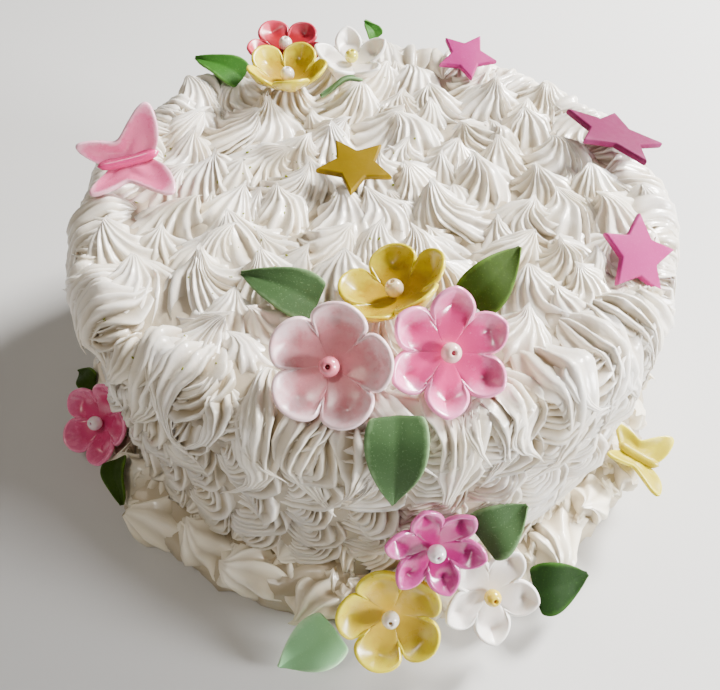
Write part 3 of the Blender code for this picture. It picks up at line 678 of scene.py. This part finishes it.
def kiss_form(x, y, radius, height, lean, turn, flutes, twist, draw, columns=6, rows=14, tip=0.0030):
    """Rings of a fluted kiss, from its foot up to a peak that is drawn aside, in distances on the flat map."""
    t = np.linspace(0.0, 1.0, rows)[:, None]
    way, groove, size = uneven_flutes(flutes, columns, draw)
    foot = size * (1 - t) + t
    sway = draw.uniform(-0.35, 0.35)
    around = 2 * math.pi * way + turn + twist * t ** 0.8 + sway * np.sin(2 * math.pi * t) * (1 - t)
    bulge = (1 - t) ** 1.08 * (1 + 0.36 * np.sin(math.pi * t))
    flank = radius * bulge * (1 - KISS_GROOVE * groove) * foot + TIP_RADIUS
    drawn = lean * t ** 1.15 + tip * t ** 6
    px = x + flank * np.cos(around) + drawn * math.cos(turn)
    py = y + flank * np.sin(around) + drawn * math.sin(turn)
    droop = 1 - 0.10 * np.maximum(0.0, (t - 0.85) / 0.15) ** 2
    rise = -FOOT_DEPTH + (height + FOOT_DEPTH) * t ** 0.95 * droop
    rise = rise - KISS_GROOVE * flank * groove * np.minimum(1.0, 6 * t)
    # Painted shade: fold darkens the cream in the grooves and low at the kiss's foot
    fold = np.clip(0.80 * groove * (1 - t) ** 0.3 + 0.55 * (1 - t) ** 4, 0.0, 1.0)
    return px, py, rise, fold


def flat_form(px, py, rise, fold):
    """A form over the flat top, which runs on over the shoulder where it passes the edge."""
    return np.stack([np.arctan2(py, px), np.hypot(px, py), rise, fold], axis=-1)


def side_form(angle, along, px, py, rise, fold):
    """A form on the side, drawn in sideways and downward distances from its place."""
    radius = float(profile_radius(np.array([along]))[0])
    return np.stack(np.broadcast_arrays(angle + px / radius, along + py, rise, fold), axis=-1)


def kiss_places():
    """Centre, lean and size of each kiss on the top: a hexagonal grid, unevenly shifted."""
    draw = random.Random(SEED)
    places = []
    rows = int(KISS_FIELD_RADIUS / (KISS_SPACING * KISS_ROW_STEP)) + 1
    for row in range(-rows, rows + 1):
        for column in range(-rows, rows + 1):
            x = (column + 0.5 * (row % 2)) * KISS_SPACING
            y = row * KISS_SPACING * KISS_ROW_STEP
            x += draw.uniform(-KISS_SHIFT, KISS_SHIFT) * KISS_SPACING
            y += draw.uniform(-KISS_SHIFT, KISS_SHIFT) * KISS_SPACING
            size = draw.uniform(*KISS_SIZE_RANGE)
            turn = KISS_TURN + draw.uniform(-KISS_TURN_SPREAD, KISS_TURN_SPREAD)
            if math.hypot(x, y) <= KISS_FIELD_RADIUS:
                places.append((x, y, turn, size))
    return places


def top_kisses(sizes):
    """The kisses of the top, laid over like shells on the left, and smaller ones pushed in between them."""
    draw = random.Random(SEED + 40)
    forms = []
    places = kiss_places()
    for x, y, turn, size in places:
        shell = min(1.0, max(0.0, 0.5 - x / SHELL_SPREAD))
        twist = draw.choice((-1, 1)) * draw.uniform(0.5, 2.1) * (1 + 0.5 * shell)
        lean = sizes.kiss_lean * (draw.uniform(0.8, 1.2) + 0.7 * shell)
        form = kiss_form(
            x, y, sizes.kiss_radius * size, sizes.kiss_height * size * (1 - 0.12 * shell), lean,
            turn - 0.5 * shell, draw.choice((11, 12, 13, 14)), twist, draw)
        forms.append((flat_form(*form), True))
    for x, y, turn, size in places:
        if draw.random() < BETWEEN_SHARE:
            side = turn + draw.uniform(1.6, 4.6)
            px = x + 0.55 * KISS_SPACING * math.cos(side)
            py = y + 0.55 * KISS_SPACING * math.sin(side)
            small = draw.uniform(0.55, 0.78)
            form = kiss_form(
                px, py, sizes.kiss_radius * small, sizes.kiss_height * draw.uniform(0.55, 0.85),
                sizes.kiss_lean * small, turn + draw.uniform(-0.6, 0.6), draw.choice((8, 9, 10)),
                draw.uniform(-1.5, 1.5), draw, columns=5, rows=11)
            forms.append((flat_form(*form), True))
    return forms


def stroke_form(width, height, start, length, sweep, flutes, twist, draw, rows=24, columns=5):
    """A fluted stroke: broad and round where it starts, drawn down to a thin point that stands off the wall."""
    t = np.linspace(0.0, 1.0, rows)[:, None] ** 1.15
    way, groove, size = uneven_flutes(flutes, columns, draw)
    opened = np.sin(np.minimum(1.0, t / STROKE_BROADEST) * math.pi / 2) ** 0.6
    taper = np.minimum(1.0, (1 - t) / (1 - STROKE_BROADEST)) ** 1.45
    half = width * opened * taper + 0.0002
    around = 2 * math.pi * way + twist * t + draw.uniform(0, 1)
    across = half * (1 - STROKE_GROOVES[0] * groove) * (size * (1 - t) + t)
    thick = STROKE_FLATNESS * half * (1 - STROKE_GROOVES[1] * groove)
    bend = sweep * (np.sin(math.pi * t * 0.9) - 1.3 * t * t)
    px = across * np.cos(around) + bend
    py = start + (length - start) * t + 0.35 * half * np.sin(around) * (1 - t) ** 3
    drawn_off = STROKE_TIP_LIFT * np.maximum(0.0, t - STROKE_BROADEST) / (1 - STROKE_BROADEST)
    lift = (height - STROKE_FLATNESS * width) * np.minimum(1.0, t / STROKE_BROADEST) + drawn_off
    rise = lift + thick * np.sin(around)
    # Painted shade: fold darkens the grooves and the underside of the stroke
    fold = np.clip(0.85 * groove * (1 - t) ** 0.3 + 0.5 * np.maximum(0.0, -np.sin(around)), 0.0, 1.0)
    return px, py, rise, fold


def rim_strokes(sizes):
    """Fluted strokes that start on the top and hang over the rim down to a point, long ones over short ones."""
    draw = random.Random(SEED + 1)
    strokes = [(draw.uniform(-STROKE_SHIFT, STROKE_SHIFT), draw.uniform(-1, 1)) for _ in range(RIM_STROKES)]
    forms = []
    for i, (shift, spread) in enumerate(strokes):
        middle = 2 * math.pi * (i + 0.5 + shift) / RIM_STROKES
        reach = sizes.stroke_length + spread * sizes.stroke_spread
        sweep = draw.uniform(0.003, 0.011) * draw.choice((1, 1, -1))
        form = stroke_form(
            sizes.stroke_half_width * draw.uniform(0.92, 1.12), sizes.stroke_height, STROKE_START, reach, sweep,
            draw.choice((11, 12, 13)), draw.uniform(0.5, 1.6) * draw.choice((1, 1, -1)), draw)
        forms.append((side_form(middle, TOP_FLAT_RADIUS, *form), True))
        between = middle + math.pi / RIM_STROKES + draw.uniform(-0.03, 0.03)
        start = draw.uniform(-0.008, 0.004)
        form = stroke_form(
            sizes.stroke_half_width * draw.uniform(0.62, 0.80), sizes.stroke_height * 0.80, start,
            start + draw.uniform(0.020, 0.034), -0.8 * sweep, draw.choice((8, 9, 10)),
            draw.uniform(-1.8, 1.8), draw, rows=18)
        forms.append((side_form(between, TOP_FLAT_RADIUS, *form), True))
    return forms


def wobble(points, seed, wavelength, amount):
    """Moves points by a smooth uneven field, as hand-piped cream is never regular."""
    draw = np.random.default_rng(seed)
    moved = np.zeros_like(points)
    for axis in range(3):
        for _ in range(6):
            wave = draw.normal(size=3)
            wave *= 2 * math.pi / (wavelength * draw.uniform(0.7, 1.4) * np.linalg.norm(wave))
            moved[:, axis] += np.sin(points @ wave + draw.uniform(0, 6.28))
    return points + moved * amount / 2.4


def wall_swirls(sizes):
    """Nested crescents: each swirl is a fan of arcs round a point at its upper left, fullest at its lower right."""
    forms = []
    steps = [k + phase for k in range(1, SWIRL_RIDGES) for phase in RIDGE_PHASES]
    steps = np.array([*steps, SWIRL_RIDGES, SWIRL_RIDGES + 0.15])[:, None]
    n = np.linspace(-1.0, 1.0, 13)[None, :]
    share = steps / steps[-1]
    # The swirl swells outwards and drops at its rim, and each ridge rises slowly and falls sharply
    full = np.where(share < 0.97, 0.25 + 0.75 * share, -0.4)
    ends = 1 - np.abs(n) ** 3.0
    phase = steps % 1
    ridge = np.where(phase < SWIRL_CREST, (phase / SWIRL_CREST) ** 1.6, (1 - phase) / (1 - SWIRL_CREST))
    rise = sizes.swirl_relief * full * ends + sizes.swirl_ridge * (ridge - 0.5) * ends - 0.0026 * (1 - ends)
    # Painted shade: fold darkens the cream between the ridges
    fold = np.clip(1.05 - 1.1 * ridge, 0.0, 1.0) + 0 * n
    for column in range(SWIRL_COLUMNS):
        draw = random.Random(SEED + 100 + column)
        shift = draw.uniform(-SWIRL_SHIFT, SWIRL_SHIFT) * SWIRL_ROW_HEIGHT
        middle = 2 * math.pi * (column + 0.5) / SWIRL_COLUMNS
        for row in range(SWIRL_ROWS):
            z = SWIRL_FIRST_Z + shift + (row + 0.3) * SWIRL_ROW_HEIGHT
            size = draw.uniform(0.92, 1.10)
            fan = math.radians(draw.uniform(-10, 10))
            arc = steps * sizes.swirl_pitch * size * (1 + 0.05 * np.sin(2.1 * steps + 7 * fan))
            phi = fan + SWIRL_FAN_TURN + n * SWIRL_FAN
            px = SWIRL_POINT[0] + arc * np.cos(phi) + 0.0006 * np.sin(3 * phi + steps)
            py = SWIRL_POINT[1] + SWIRL_SQUASH * arc * np.sin(phi)
            forms.append((side_form(middle, SHOULDER_END + WALL_TOP_Z - z, px, py, rise, fold), False))
    return forms


def border_kisses(sizes):
    """Soft kisses round the foot, their tips drawn along the border, and small lumps where they meet the wall."""
    forms = []
    step = 2 * math.pi / BORDER_BLOBS
    for blob in range(BORDER_BLOBS):
        draw = random.Random(SEED + 300 + blob)
        middle = (blob + 0.5 + draw.uniform(-BLOB_SHIFT, BLOB_SHIFT)) * step
        size = draw.uniform(*BLOB_SIZE_RANGE)
        peak = draw.uniform(*BLOB_PEAK_RANGE) * BORDER_TUBE_RADIUS * 2
        form = kiss_form(
            0.0, 0.0, sizes.blob_radius * size, sizes.blob_height * size, 0.0095, math.pi + draw.uniform(-0.5, 0.4),
            draw.choice((6, 7)), draw.uniform(-0.9, 0.9), draw, columns=8, tip=0.0050)
        forms.append((side_form(middle, WALL_END + peak, *form), True))
        form = kiss_form(
            0.0, 0.0, 0.0115 * size, 0.0070, 0.0035, math.pi + draw.uniform(-0.9, 0.9),
            7, draw.uniform(-0.9, 0.9), draw, columns=6, rows=10, tip=0.0015)
        forms.append((side_form(middle + 0.5 * step, WALL_END - 0.002 + draw.uniform(-0.002, 0.003), *form), True))
        for _ in range(LUMPS_PER_BLOB):
            form = kiss_form(
                0.0, 0.0, draw.uniform(0.0050, 0.0080), draw.uniform(0.0025, 0.0045), draw.uniform(0.001, 0.003),
                draw.uniform(0, 6.28), 5, draw.uniform(-0.9, 0.9), draw, columns=6, rows=9, tip=0.0010)
            place = WALL_END + draw.uniform(0.20, 0.80) * BORDER_TUBE_RADIUS * 2
            forms.append((side_form(middle + draw.uniform(-0.6, 0.6) * step, place, *form), True))
    return forms


def core_form():
    """The smooth body under the piping, a little lumpy, from the middle of the top to the foot."""
    columns = 240
    along = np.linspace(0.0005, PROFILE_END, 110)[:, None]
    angle = 2 * math.pi * np.arange(columns)[None, :] / columns
    x = along * np.cos(angle)
    y = along * np.sin(angle)
    lumps = np.sin(410 * x + 3 * np.sin(230 * y)) * np.sin(380 * y + 2 * np.sin(310 * x))
    rise = 0.0008 + 0.0010 * lumps
    # Painted shade: the body's fold share of 0.8 darkens the cream seen between the forms
    return np.stack(np.broadcast_arrays(angle, along, rise, 0.8), axis=-1)


class CAKE_OT_cream(bpy.types.Operator):
    """Pipes the cream: the body, the kisses on the top, the strokes over the rim, the wall's swirls and the border"""

    bl_idname = "cake.cream"
    bl_label = "Pipe the cream"

    def execute(self, context):
        sizes = context.scene.cake_sizes
        material = whipped_cream()
        limits = seat_map()
        cream_piece("cream_body", [(core_form(), True)], limits, material, ("cake",))
        for name, pipe in (("kisses", top_kisses), ("strokes", rim_strokes), ("swirls", wall_swirls),
                           ("border", border_kisses)):
            cream_piece("cream_" + name, pipe(sizes), limits, material)
        return {"FINISHED"}


def close_ends(obj):
    """Closes a tube-like mesh's two open rings with faces."""
    body = bmesh.new()
    body.from_mesh(obj.data)
    edges = [edge for edge in body.edges if edge.is_boundary]
    bmesh.ops.holes_fill(body, edges=edges, sides=0)
    bmesh.ops.recalc_face_normals(body, faces=body.faces)
    body.to_mesh(obj.data)
    body.free()


def facing_matrix(centre, facing, spin_degrees):
    """Places a form drawn flat in XY so that its +Z looks along facing, after a turn about its own axis."""
    turn = Vector((0, 0, 1)).rotation_difference(Vector(facing).normalized()).to_matrix().to_4x4()
    return Matrix.Translation(centre) @ turn @ Matrix.Rotation(math.radians(spin_degrees), 4, "Z")


def petal_reach(u, pointed):
    """How far a petal reaches at u, from 0 at one slit to 1 at the next, as a share of the radius."""
    across = math.sin(math.pi * u)
    rounded = across ** PETAL_ROUNDNESS
    peaked = (1 - abs(2 * u - 1) ** PETAL_POINT) ** PETAL_FULLNESS
    return PETAL_SLIT + (1 - PETAL_SLIT) * ((1 - pointed) * rounded + pointed * peaked)


def petal_relief(u, share, pointed, draw_lift):
    """Height of the tooled relief on a petal: a dent pressed in its middle and a raised soft edge."""
    side = (u - 0.5) * 2
    dent = math.exp(-((side / 0.42) ** 2) - ((share - 0.70) / 0.17) ** 2)
    crease = math.exp(-((side / 0.14) ** 2) - ((share - 0.72) / 0.16) ** 2)
    edge = share ** 7 * (1 - 0.4 * side * side)
    groove = math.exp(-((1 - abs(side)) / 0.10) ** 2) * math.exp(-((share - 0.60) / 0.12) ** 2)
    deep = 0.0016 + 0.0012 * pointed
    return -deep * dent - 0.0008 * pointed * crease + 0.0014 * edge - 0.0005 * groove + draw_lift * share ** 2


class CAKE_OT_flowers(bpy.types.Operator):
    """Cuts each flower from a sheet of paste, cups it, dents its petals and sets a bead in its middle"""

    bl_idname = "cake.flowers"
    bl_label = "Make the flowers"

    def execute(self, context):
        sizes = context.scene.cake_sizes
        for name, values in FLOWERS.items():
            build_flower(name, sizes, *values)
        return {"FINISHED"}


def build_flower(name, sizes, centre, facing, spin, diameter, petals, pointed, cup, paste):
    """One flower: a cupped sheet of rings round its middle, cut in by slits between its petals, with its bead."""
    radius = diameter / 2
    place = facing_matrix(centre, facing, spin)
    draw = random.Random(name)
    lifts = [draw.uniform(-0.0009, 0.0012) for _ in range(petals)]
    vertices = [place @ Vector((0, 0, 0))]
    share_values = [0.0]
    for k in range(1, PETAL_RINGS + 1):
        share = (k / PETAL_RINGS) ** 0.85
        for petal in range(petals):
            for j in range(PETAL_STEPS):
                # Vertices lie close together at the slits and at the petal's tip
                half, inside = divmod(2 * j / PETAL_STEPS, 1)
                u = 0.5 * half + 0.25 * (1 - math.cos(math.pi * inside))
                angle = 2 * math.pi * (petal + u) / petals
                reach = petal_reach(u, pointed)
                r = radius * PETAL_FIT * (share * reach + (1 - share) * share * PETAL_NARROWING)
                z = cup * (r / radius) ** PETAL_CUP_POWER + petal_relief(u, share, pointed, lifts[petal])
                vertices.append(place @ Vector((r * math.cos(angle), r * math.sin(angle), z)))
                share_values.append(share)
    obj = mesh_object("petals_" + name, vertices, disc_faces(PETAL_RINGS, petals * PETAL_STEPS), share_values)
    thicken(obj, sizes.petal_thickness)
    finish_trim(obj, "petals_" + name, "flower_" + name, "sugar_paste_" + PALER.get(name, paste))
    bead = bead_mesh("bead_" + name, sizes.bead_radius, place, sizes.petal_thickness / 2 + BEAD_LIFT)
    finish_trim(bead, "bead_" + name, "pearl_" + name, sugar_bead(name, *BEADS[name]).name)


def thicken(obj, thickness):
    """Gives a sheet its thickness and soft rounded edges."""
    solid = obj.modifiers.new("thickness", "SOLIDIFY")
    solid.thickness = thickness
    solid.offset = 0.0
    soft = obj.modifiers.new("soft edges", "SUBSURF")
    soft.levels = 1
    soft.render_levels = 1
    apply_modifiers(obj)
    obj.data.shade_smooth()


def finish_trim(obj, name, stands_for, material):
    """Finishes a trim, and marks it so that the cream keeps under it."""
    obj["trim"] = True
    finish_piece(obj, name, bpy.data.materials[material], (stands_for,))


def bead_mesh(name, radius, place, lift):
    """A bead spun from its half profile, with a hole pressed in its top."""
    outline = [(0.0, -radius)]
    for i in range(1, BEAD_STEPS + 1):
        turn = -math.pi / 2 + (math.pi - math.asin(BEAD_HOLE)) * i / BEAD_STEPS
        outline.append((radius * math.cos(turn), radius * math.sin(turn)))
    outline.append((radius * BEAD_HOLE * 0.80, radius * 0.86))
    outline.append((radius * BEAD_HOLE * 0.70, radius * 0.60))
    outline.append((0.0, radius * 0.52))
    vertices = []
    share_values = []
    for i, (r, z) in enumerate(outline):
        for j in range(1 if r == 0.0 else BEAD_COLUMNS):
            turn = 2 * math.pi * j / BEAD_COLUMNS
            vertices.append(place @ Vector((r * math.cos(turn), r * math.sin(turn), z + radius + lift)))
            share_values.append(0.0 if i >= len(outline) - 2 else 1.0)
    last = len(vertices) - 1
    rows = len(outline) - 2
    top = 1 + (rows - 1) * BEAD_COLUMNS
    faces = disc_faces(rows, BEAD_COLUMNS)
    faces += [(last, top + j, top + (j + 1) % BEAD_COLUMNS) for j in range(BEAD_COLUMNS)]
    return mesh_object(name, vertices, faces, share_values)


def leaf_share(t):
    """Width of a leaf at t, from 0 at its base to 1 at its tip, as a share of its full width."""
    return LEAF_FULLNESS * (t + LEAF_BASE) ** LEAF_BASE_POWER * (1 - t) ** LEAF_TAPER_POWER


class CAKE_OT_leaves(bpy.types.Operator):
    """Rolls each leaf thin, with a sunk midrib and a wavy edge, and bends it over the cream"""

    bl_idname = "cake.leaves"
    bl_label = "Make the leaves"

    def execute(self, context):
        sizes = context.scene.cake_sizes
        for name, (base, tip, up, width, arch, paste) in LEAVES.items():
            base = Vector(base)
            along = Vector(tip) - base
            side = along.cross(Vector(up)).normalized()
            rise = side.cross(along).normalized()
            vertices = []
            share_values = []
            for i in range(LEAF_ROWS):
                t = i / (LEAF_ROWS - 1)
                spread = width / 2 * max(leaf_share(t), LEAF_TIP)
                for j in range(LEAF_LANES):
                    lane = 2 * j / (LEAF_LANES - 1) - 1
                    wave = LEAF_WAVE * math.sin(2 * math.pi * t + lane)
                    fold = LEAF_FOLD * abs(lane) ** 1.4 * spread / (width / 2)
                    rib = -0.0003 * math.exp(-((lane / 0.10) ** 2))
                    lift = arch * math.sin(math.pi * t) + wave + fold + rib
                    vertices.append(base + along * t + side * (lane * spread) + rise * lift)
                    share_values.append(abs(lane) ** 3)
            faces = grid_faces(LEAF_ROWS, LEAF_LANES, False, 0)
            obj = mesh_object("leaf_paste_" + name, vertices, faces, share_values)
            thicken(obj, sizes.leaf_thickness)
            finish_trim(obj, "leaf_paste_" + name, "leaf_" + name, "sugar_paste_" + paste)
        return {"FINISHED"}


class CAKE_OT_stars(bpy.types.Operator):
    """Cuts the stars from a thicker sheet and softens their edges"""

    bl_idname = "cake.stars"
    bl_label = "Make the stars"

    def execute(self, context):
        sizes = context.scene.cake_sizes
        for name, (centre, facing, spin, diameter, paste) in STARS.items():
            bpy.ops.object.select_all(action="DESELECT")
            bpy.ops.mesh.primitive_circle_add(vertices=2 * STAR_POINTS, radius=diameter / 2, fill_type="NGON")
            obj = context.active_object
            for i, vertex in enumerate(obj.data.vertices):
                reach = diameter / 2 * (1.0 if i % 2 == 0 else STAR_WAIST)
                angle = math.pi * i / STAR_POINTS
                vertex.co = (reach * math.cos(angle), reach * math.sin(angle), -sizes.star_thickness / 2)
            bpy.ops.object.mode_set(mode="EDIT")
            bpy.ops.mesh.select_all(action="SELECT")
            bpy.ops.mesh.extrude_region_move(TRANSFORM_OT_translate={"value": (0, 0, sizes.star_thickness)})
            bpy.ops.mesh.select_all(action="SELECT")
            bpy.ops.mesh.normals_make_consistent(inside=False)
            bpy.ops.object.mode_set(mode="OBJECT")
            soft = obj.modifiers.new("soft edges", "BEVEL")
            soft.width = STAR_SOFT_EDGE
            soft.segments = 4
            soft.limit_method = "ANGLE"
            soft.angle_limit = math.radians(30)
            apply_modifiers(obj)
            place = facing_matrix(centre, facing, spin)
            share_values = []
            phase = random.Random(name).uniform(0, 6)
            for vertex in obj.data.vertices:
                co = vertex.co
                share_values.append(min(1.0, (math.hypot(co.x, co.y) / (diameter / 2)) ** 3))
                wavy = 0.0004 * math.sin(260 * co.x + phase) * math.sin(230 * co.y + phase)
                vertex.co = place @ (co + Vector((0, 0, wavy)))
            obj.data.attributes.new("share", "FLOAT", "POINT").data.foreach_set("value", share_values)
            obj.matrix_world = Matrix.Identity(4)
            obj.data.shade_smooth()
            obj.data.set_sharp_from_angle(angle=math.radians(60))
            finish_trim(obj, "star_paste_" + name, "star_" + name, "sugar_paste_" + paste)
        return {"FINISHED"}


def wing_reach(angle):
    """How far the wings reach at an angle from the head, as a share of the wing length."""
    away = abs(math.degrees(math.remainder(angle, 2 * math.pi)))
    for (start, low), (end, high) in zip(WING_OUTLINE, WING_OUTLINE[1:]):
        if start <= away <= end:
            t = (away - start) / (end - start)
            return low + (high - low) * (t * t if high > low else 1 - (1 - t) ** 2) ** 0.75
    return WING_OUTLINE[-1][1]


def soft_wing_reach(angle):
    """The wing outline with its corners rounded, as paste cut by hand has."""
    return sum(wing_reach(angle + math.radians(d)) for d in (-6, -3, 0, 3, 6)) / 5


class CAKE_OT_butterflies(bpy.types.Operator):
    """Cuts the butterflies' wings from paste, bends them up and lays a rolled body between them"""

    bl_idname = "cake.butterflies"
    bl_label = "Make the butterflies"

    def execute(self, context):
        for name, values in BUTTERFLIES.items():
            build_butterfly(name, *values)
        return {"FINISHED"}


def build_butterfly(name, centre, body, up, length, lifts, paste):
    """One butterfly: wings from rings round its middle, each side bent up on its own, and a rolled body on them."""
    centre = Vector(centre)
    forward = Vector(body).normalized()
    side = Vector(up).cross(forward).normalized()
    rise = forward.cross(side).normalized()
    vertices = [centre]
    share_values = [0.0]
    for k in range(1, WING_RINGS + 1):
        share = k / WING_RINGS
        for i in range(WING_COLUMNS):
            angle = 2 * math.pi * i / WING_COLUMNS
            r = WING_FIT * share * length * soft_wing_reach(angle)
            u = r * math.cos(angle)
            v = r * math.sin(angle)
            lift = math.radians(lifts[0] if v > 0 else lifts[1])
            outward = side * (1 if v >= 0 else -1)
            away = abs(v)
            wing = outward * math.cos(lift) + rise * math.sin(lift)
            above = rise * math.cos(lift) - outward * math.sin(lift)
            bow = 0.0016 * math.sin(math.pi * min(1.0, away / (0.8 * length)))
            hollow = -0.0012 * math.sin(math.pi * share) ** 2 * min(1.0, away / 0.006)
            vertices.append(centre + forward * u + wing * away + above * (bow + hollow))
            share_values.append(share ** 4)
    wings = mesh_object("wings_" + name, vertices, disc_faces(WING_RINGS, WING_COLUMNS), share_values)
    thicken(wings, WING_THICKNESS)
    finish_trim(wings, "wings_" + name, "butterfly_" + name, "sugar_paste_" + paste)
    reach = length * BODY_SHARE
    vertices = []
    rows = 15
    around = 18
    for i in range(rows):
        t = 2 * i / (rows - 1) - 1
        girth = BODY_GIRTH * (1 - abs(t) ** 5) ** 0.5 + 0.00002
        middle = centre + forward * (t * reach) + rise * (0.0026 + 0.0008 * t * t)
        for j in range(around):
            turn = 2 * math.pi * j / around
            vertices.append(middle + side * (girth * math.cos(turn)) + rise * (girth * math.sin(turn)))
    rolled = mesh_object("body_" + name, vertices, grid_faces(rows, around, True, 0), [0.0] * len(vertices))
    close_ends(rolled)
    body_paste = "hot_pink" if paste == "blush" else paste
    finish_piece(rolled, "body_" + name, bpy.data.materials["sugar_paste_" + body_paste])


class CAKE_OT_specks(bpy.types.Operator):
    """Lets specks of coloured sugar fall on the cream, most of them on its left half"""

    bl_idname = "cake.specks"
    bl_label = "Scatter the specks"

    def execute(self, context):
        draw = random.Random(SEED + 70)
        depsgraph = context.evaluated_depsgraph_get()
        vertices = []
        faces = []
        for _ in range(SPECKS):
            x = draw.gauss(*SPECK_MIDDLE_X)
            y = draw.gauss(*SPECK_MIDDLE_Y)
            hit, place, normal, _, obj, _ = context.scene.ray_cast(depsgraph, (x, y, 0.2), (0, 0, -1))
            if not hit or not obj.name.startswith("cream") or place.z < WALL_TOP_Z:
                continue
            size = draw.uniform(0.0004, 0.0010)
            turn = facing_matrix(place, normal, draw.uniform(0, 360))
            start = len(vertices)
            corners = [(draw.uniform(0.6, 1.1) * size, 2 * math.pi * i / 6) for i in range(6)]
            for z in (-0.3 * size, 0.3 * size):
                vertices.extend(turn @ Vector((r * math.cos(a), 0.6 * r * math.sin(a), z)) for r, a in corners)
            faces.append(tuple(range(start + 5, start - 1, -1)))
            faces.append(tuple(range(start + 6, start + 12)))
            faces.extend((start + i, start + (i + 1) % 6, start + 6 + (i + 1) % 6, start + 6 + i) for i in range(6))
        if not vertices:
            raise RuntimeError("no speck fell on the cream")
        obj = mesh_object("sugar_specks", vertices, faces, [0.0] * len(vertices))
        finish_piece(obj, "sugar_specks", bpy.data.materials["sugar_paste_speck"])
        return {"FINISHED"}


class CAKE_OT_pastes(bpy.types.Operator):
    """Mixes the sugar pastes"""

    bl_idname = "cake.pastes"
    bl_label = "Mix the pastes"

    def execute(self, context):
        for name, values in PASTES.items():
            sugar_paste(name, *values)
        return {"FINISHED"}


class CAKE_OT_stage(bpy.types.Operator):
    """Sets the floor, the soft light and the camera"""

    bl_idname = "cake.stage"
    bl_label = "Set the stage"

    def execute(self, context):
        bpy.ops.object.select_all(action="DESELECT")
        bpy.ops.mesh.primitive_plane_add(size=6.0, location=(0, 0, 0))
        floor = context.active_object
        for vertex in floor.data.vertices:
            vertex.co.z -= 0.0003
        floor.name = "floor"
        material, tree = new_material("matte_floor")
        shader = node(
            tree, "ShaderNodeBsdfPrincipled",
            inputs={"Base Color": (*linear(context.scene.cake_colours.floor), 1.0), "Roughness": 0.85})
        node(tree, "ShaderNodeOutputMaterial", links={"Surface": (shader, "BSDF")})
        floor.data.materials.append(material)
        # Each lamp: name, place, size, power and colour. All look at the cake's middle.
        lamps = (
            ("window", (0.95, 0.62, 0.98), 0.34, 88.0, (1.0, 0.99, 0.97)),
            ("right_fill", (1.15, -0.42, 0.42), 0.30, 36.0, (0.97, 0.98, 1.0)),
            ("left_fill", (-0.90, -0.60, 0.90), 0.25, 1.5, (1.0, 0.86, 0.68)),
            ("front_fill", (-0.35, -0.50, 1.50), 0.22, 5.0, (1.0, 0.95, 0.88)),
        )
        for name, place, size, power, colour in lamps:
            data = bpy.data.lights.new(name, "AREA")
            data.size = size
            data.energy = power
            data.color = colour
            lamp = bpy.data.objects.new(name, data)
            lamp.location = place
            aim = Vector((0, 0, 0.06)) - Vector(place)
            lamp.rotation_euler = aim.to_track_quat("-Z", "Y").to_euler()
            context.scene.collection.objects.link(lamp)
        world = bpy.data.worlds.new("soft_room")
        world.use_nodes = True
        background = world.node_tree.nodes["Background"]
        background.inputs["Color"].default_value = (1.0, 0.94, 0.87, 1.0)
        background.inputs["Strength"].default_value = 0.10
        context.scene.world = world
        # The view of the photograph
        data = bpy.data.cameras.new("camera")
        data.sensor_width = 36.0
        data.lens = 36.1
        camera = bpy.data.objects.new("camera", data)
        camera.location = (-0.0049, -0.25209, 0.31750)
        camera.rotation_euler = (math.radians(90 - 50.1), 0.0, 0.0)
        context.scene.collection.objects.link(camera)
        context.scene.camera = camera
        return {"FINISHED"}


STEPS = (CAKE_OT_pastes, CAKE_OT_flowers, CAKE_OT_leaves, CAKE_OT_stars, CAKE_OT_butterflies, CAKE_OT_cream,
         CAKE_OT_specks, CAKE_OT_stage)


class CAKE_PT_panel(bpy.types.Panel):
    """Lists the steps and the sizes"""

    bl_label = "Cake"
    bl_idname = "CAKE_PT_panel"
    bl_space_type = "VIEW_3D"
    bl_region_type = "UI"
    bl_category = "Cake"

    def draw(self, context):
        for step in STEPS:
            self.layout.operator(step.bl_idname)
        for group in (context.scene.cake_sizes, context.scene.cake_colours):
            for name in group.bl_rna.properties.keys():
                if name not in {"rna_type", "name"}:
                    self.layout.prop(group, name)


CLASSES = (CakeSizes, CakeColours, *STEPS, CAKE_PT_panel)


def register():
    for cls in CLASSES:
        bpy.utils.register_class(cls)
    bpy.types.Scene.cake_sizes = bpy.props.PointerProperty(type=CakeSizes)
    bpy.types.Scene.cake_colours = bpy.props.PointerProperty(type=CakeColours)


def unregister():
    del bpy.types.Scene.cake_colours
    del bpy.types.Scene.cake_sizes
    for cls in reversed(CLASSES):
        bpy.utils.unregister_class(cls)


def main():
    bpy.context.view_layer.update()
    register()
    bpy.ops.object.select_all(action="DESELECT")
    bpy.ops.cake.pastes()
    bpy.ops.cake.flowers()
    bpy.ops.cake.leaves()
    bpy.ops.cake.stars()
    bpy.ops.cake.butterflies()
    bpy.ops.cake.cream()
    bpy.ops.cake.specks()
    bpy.ops.cake.stage()


if __name__ == "__main__":
    main()
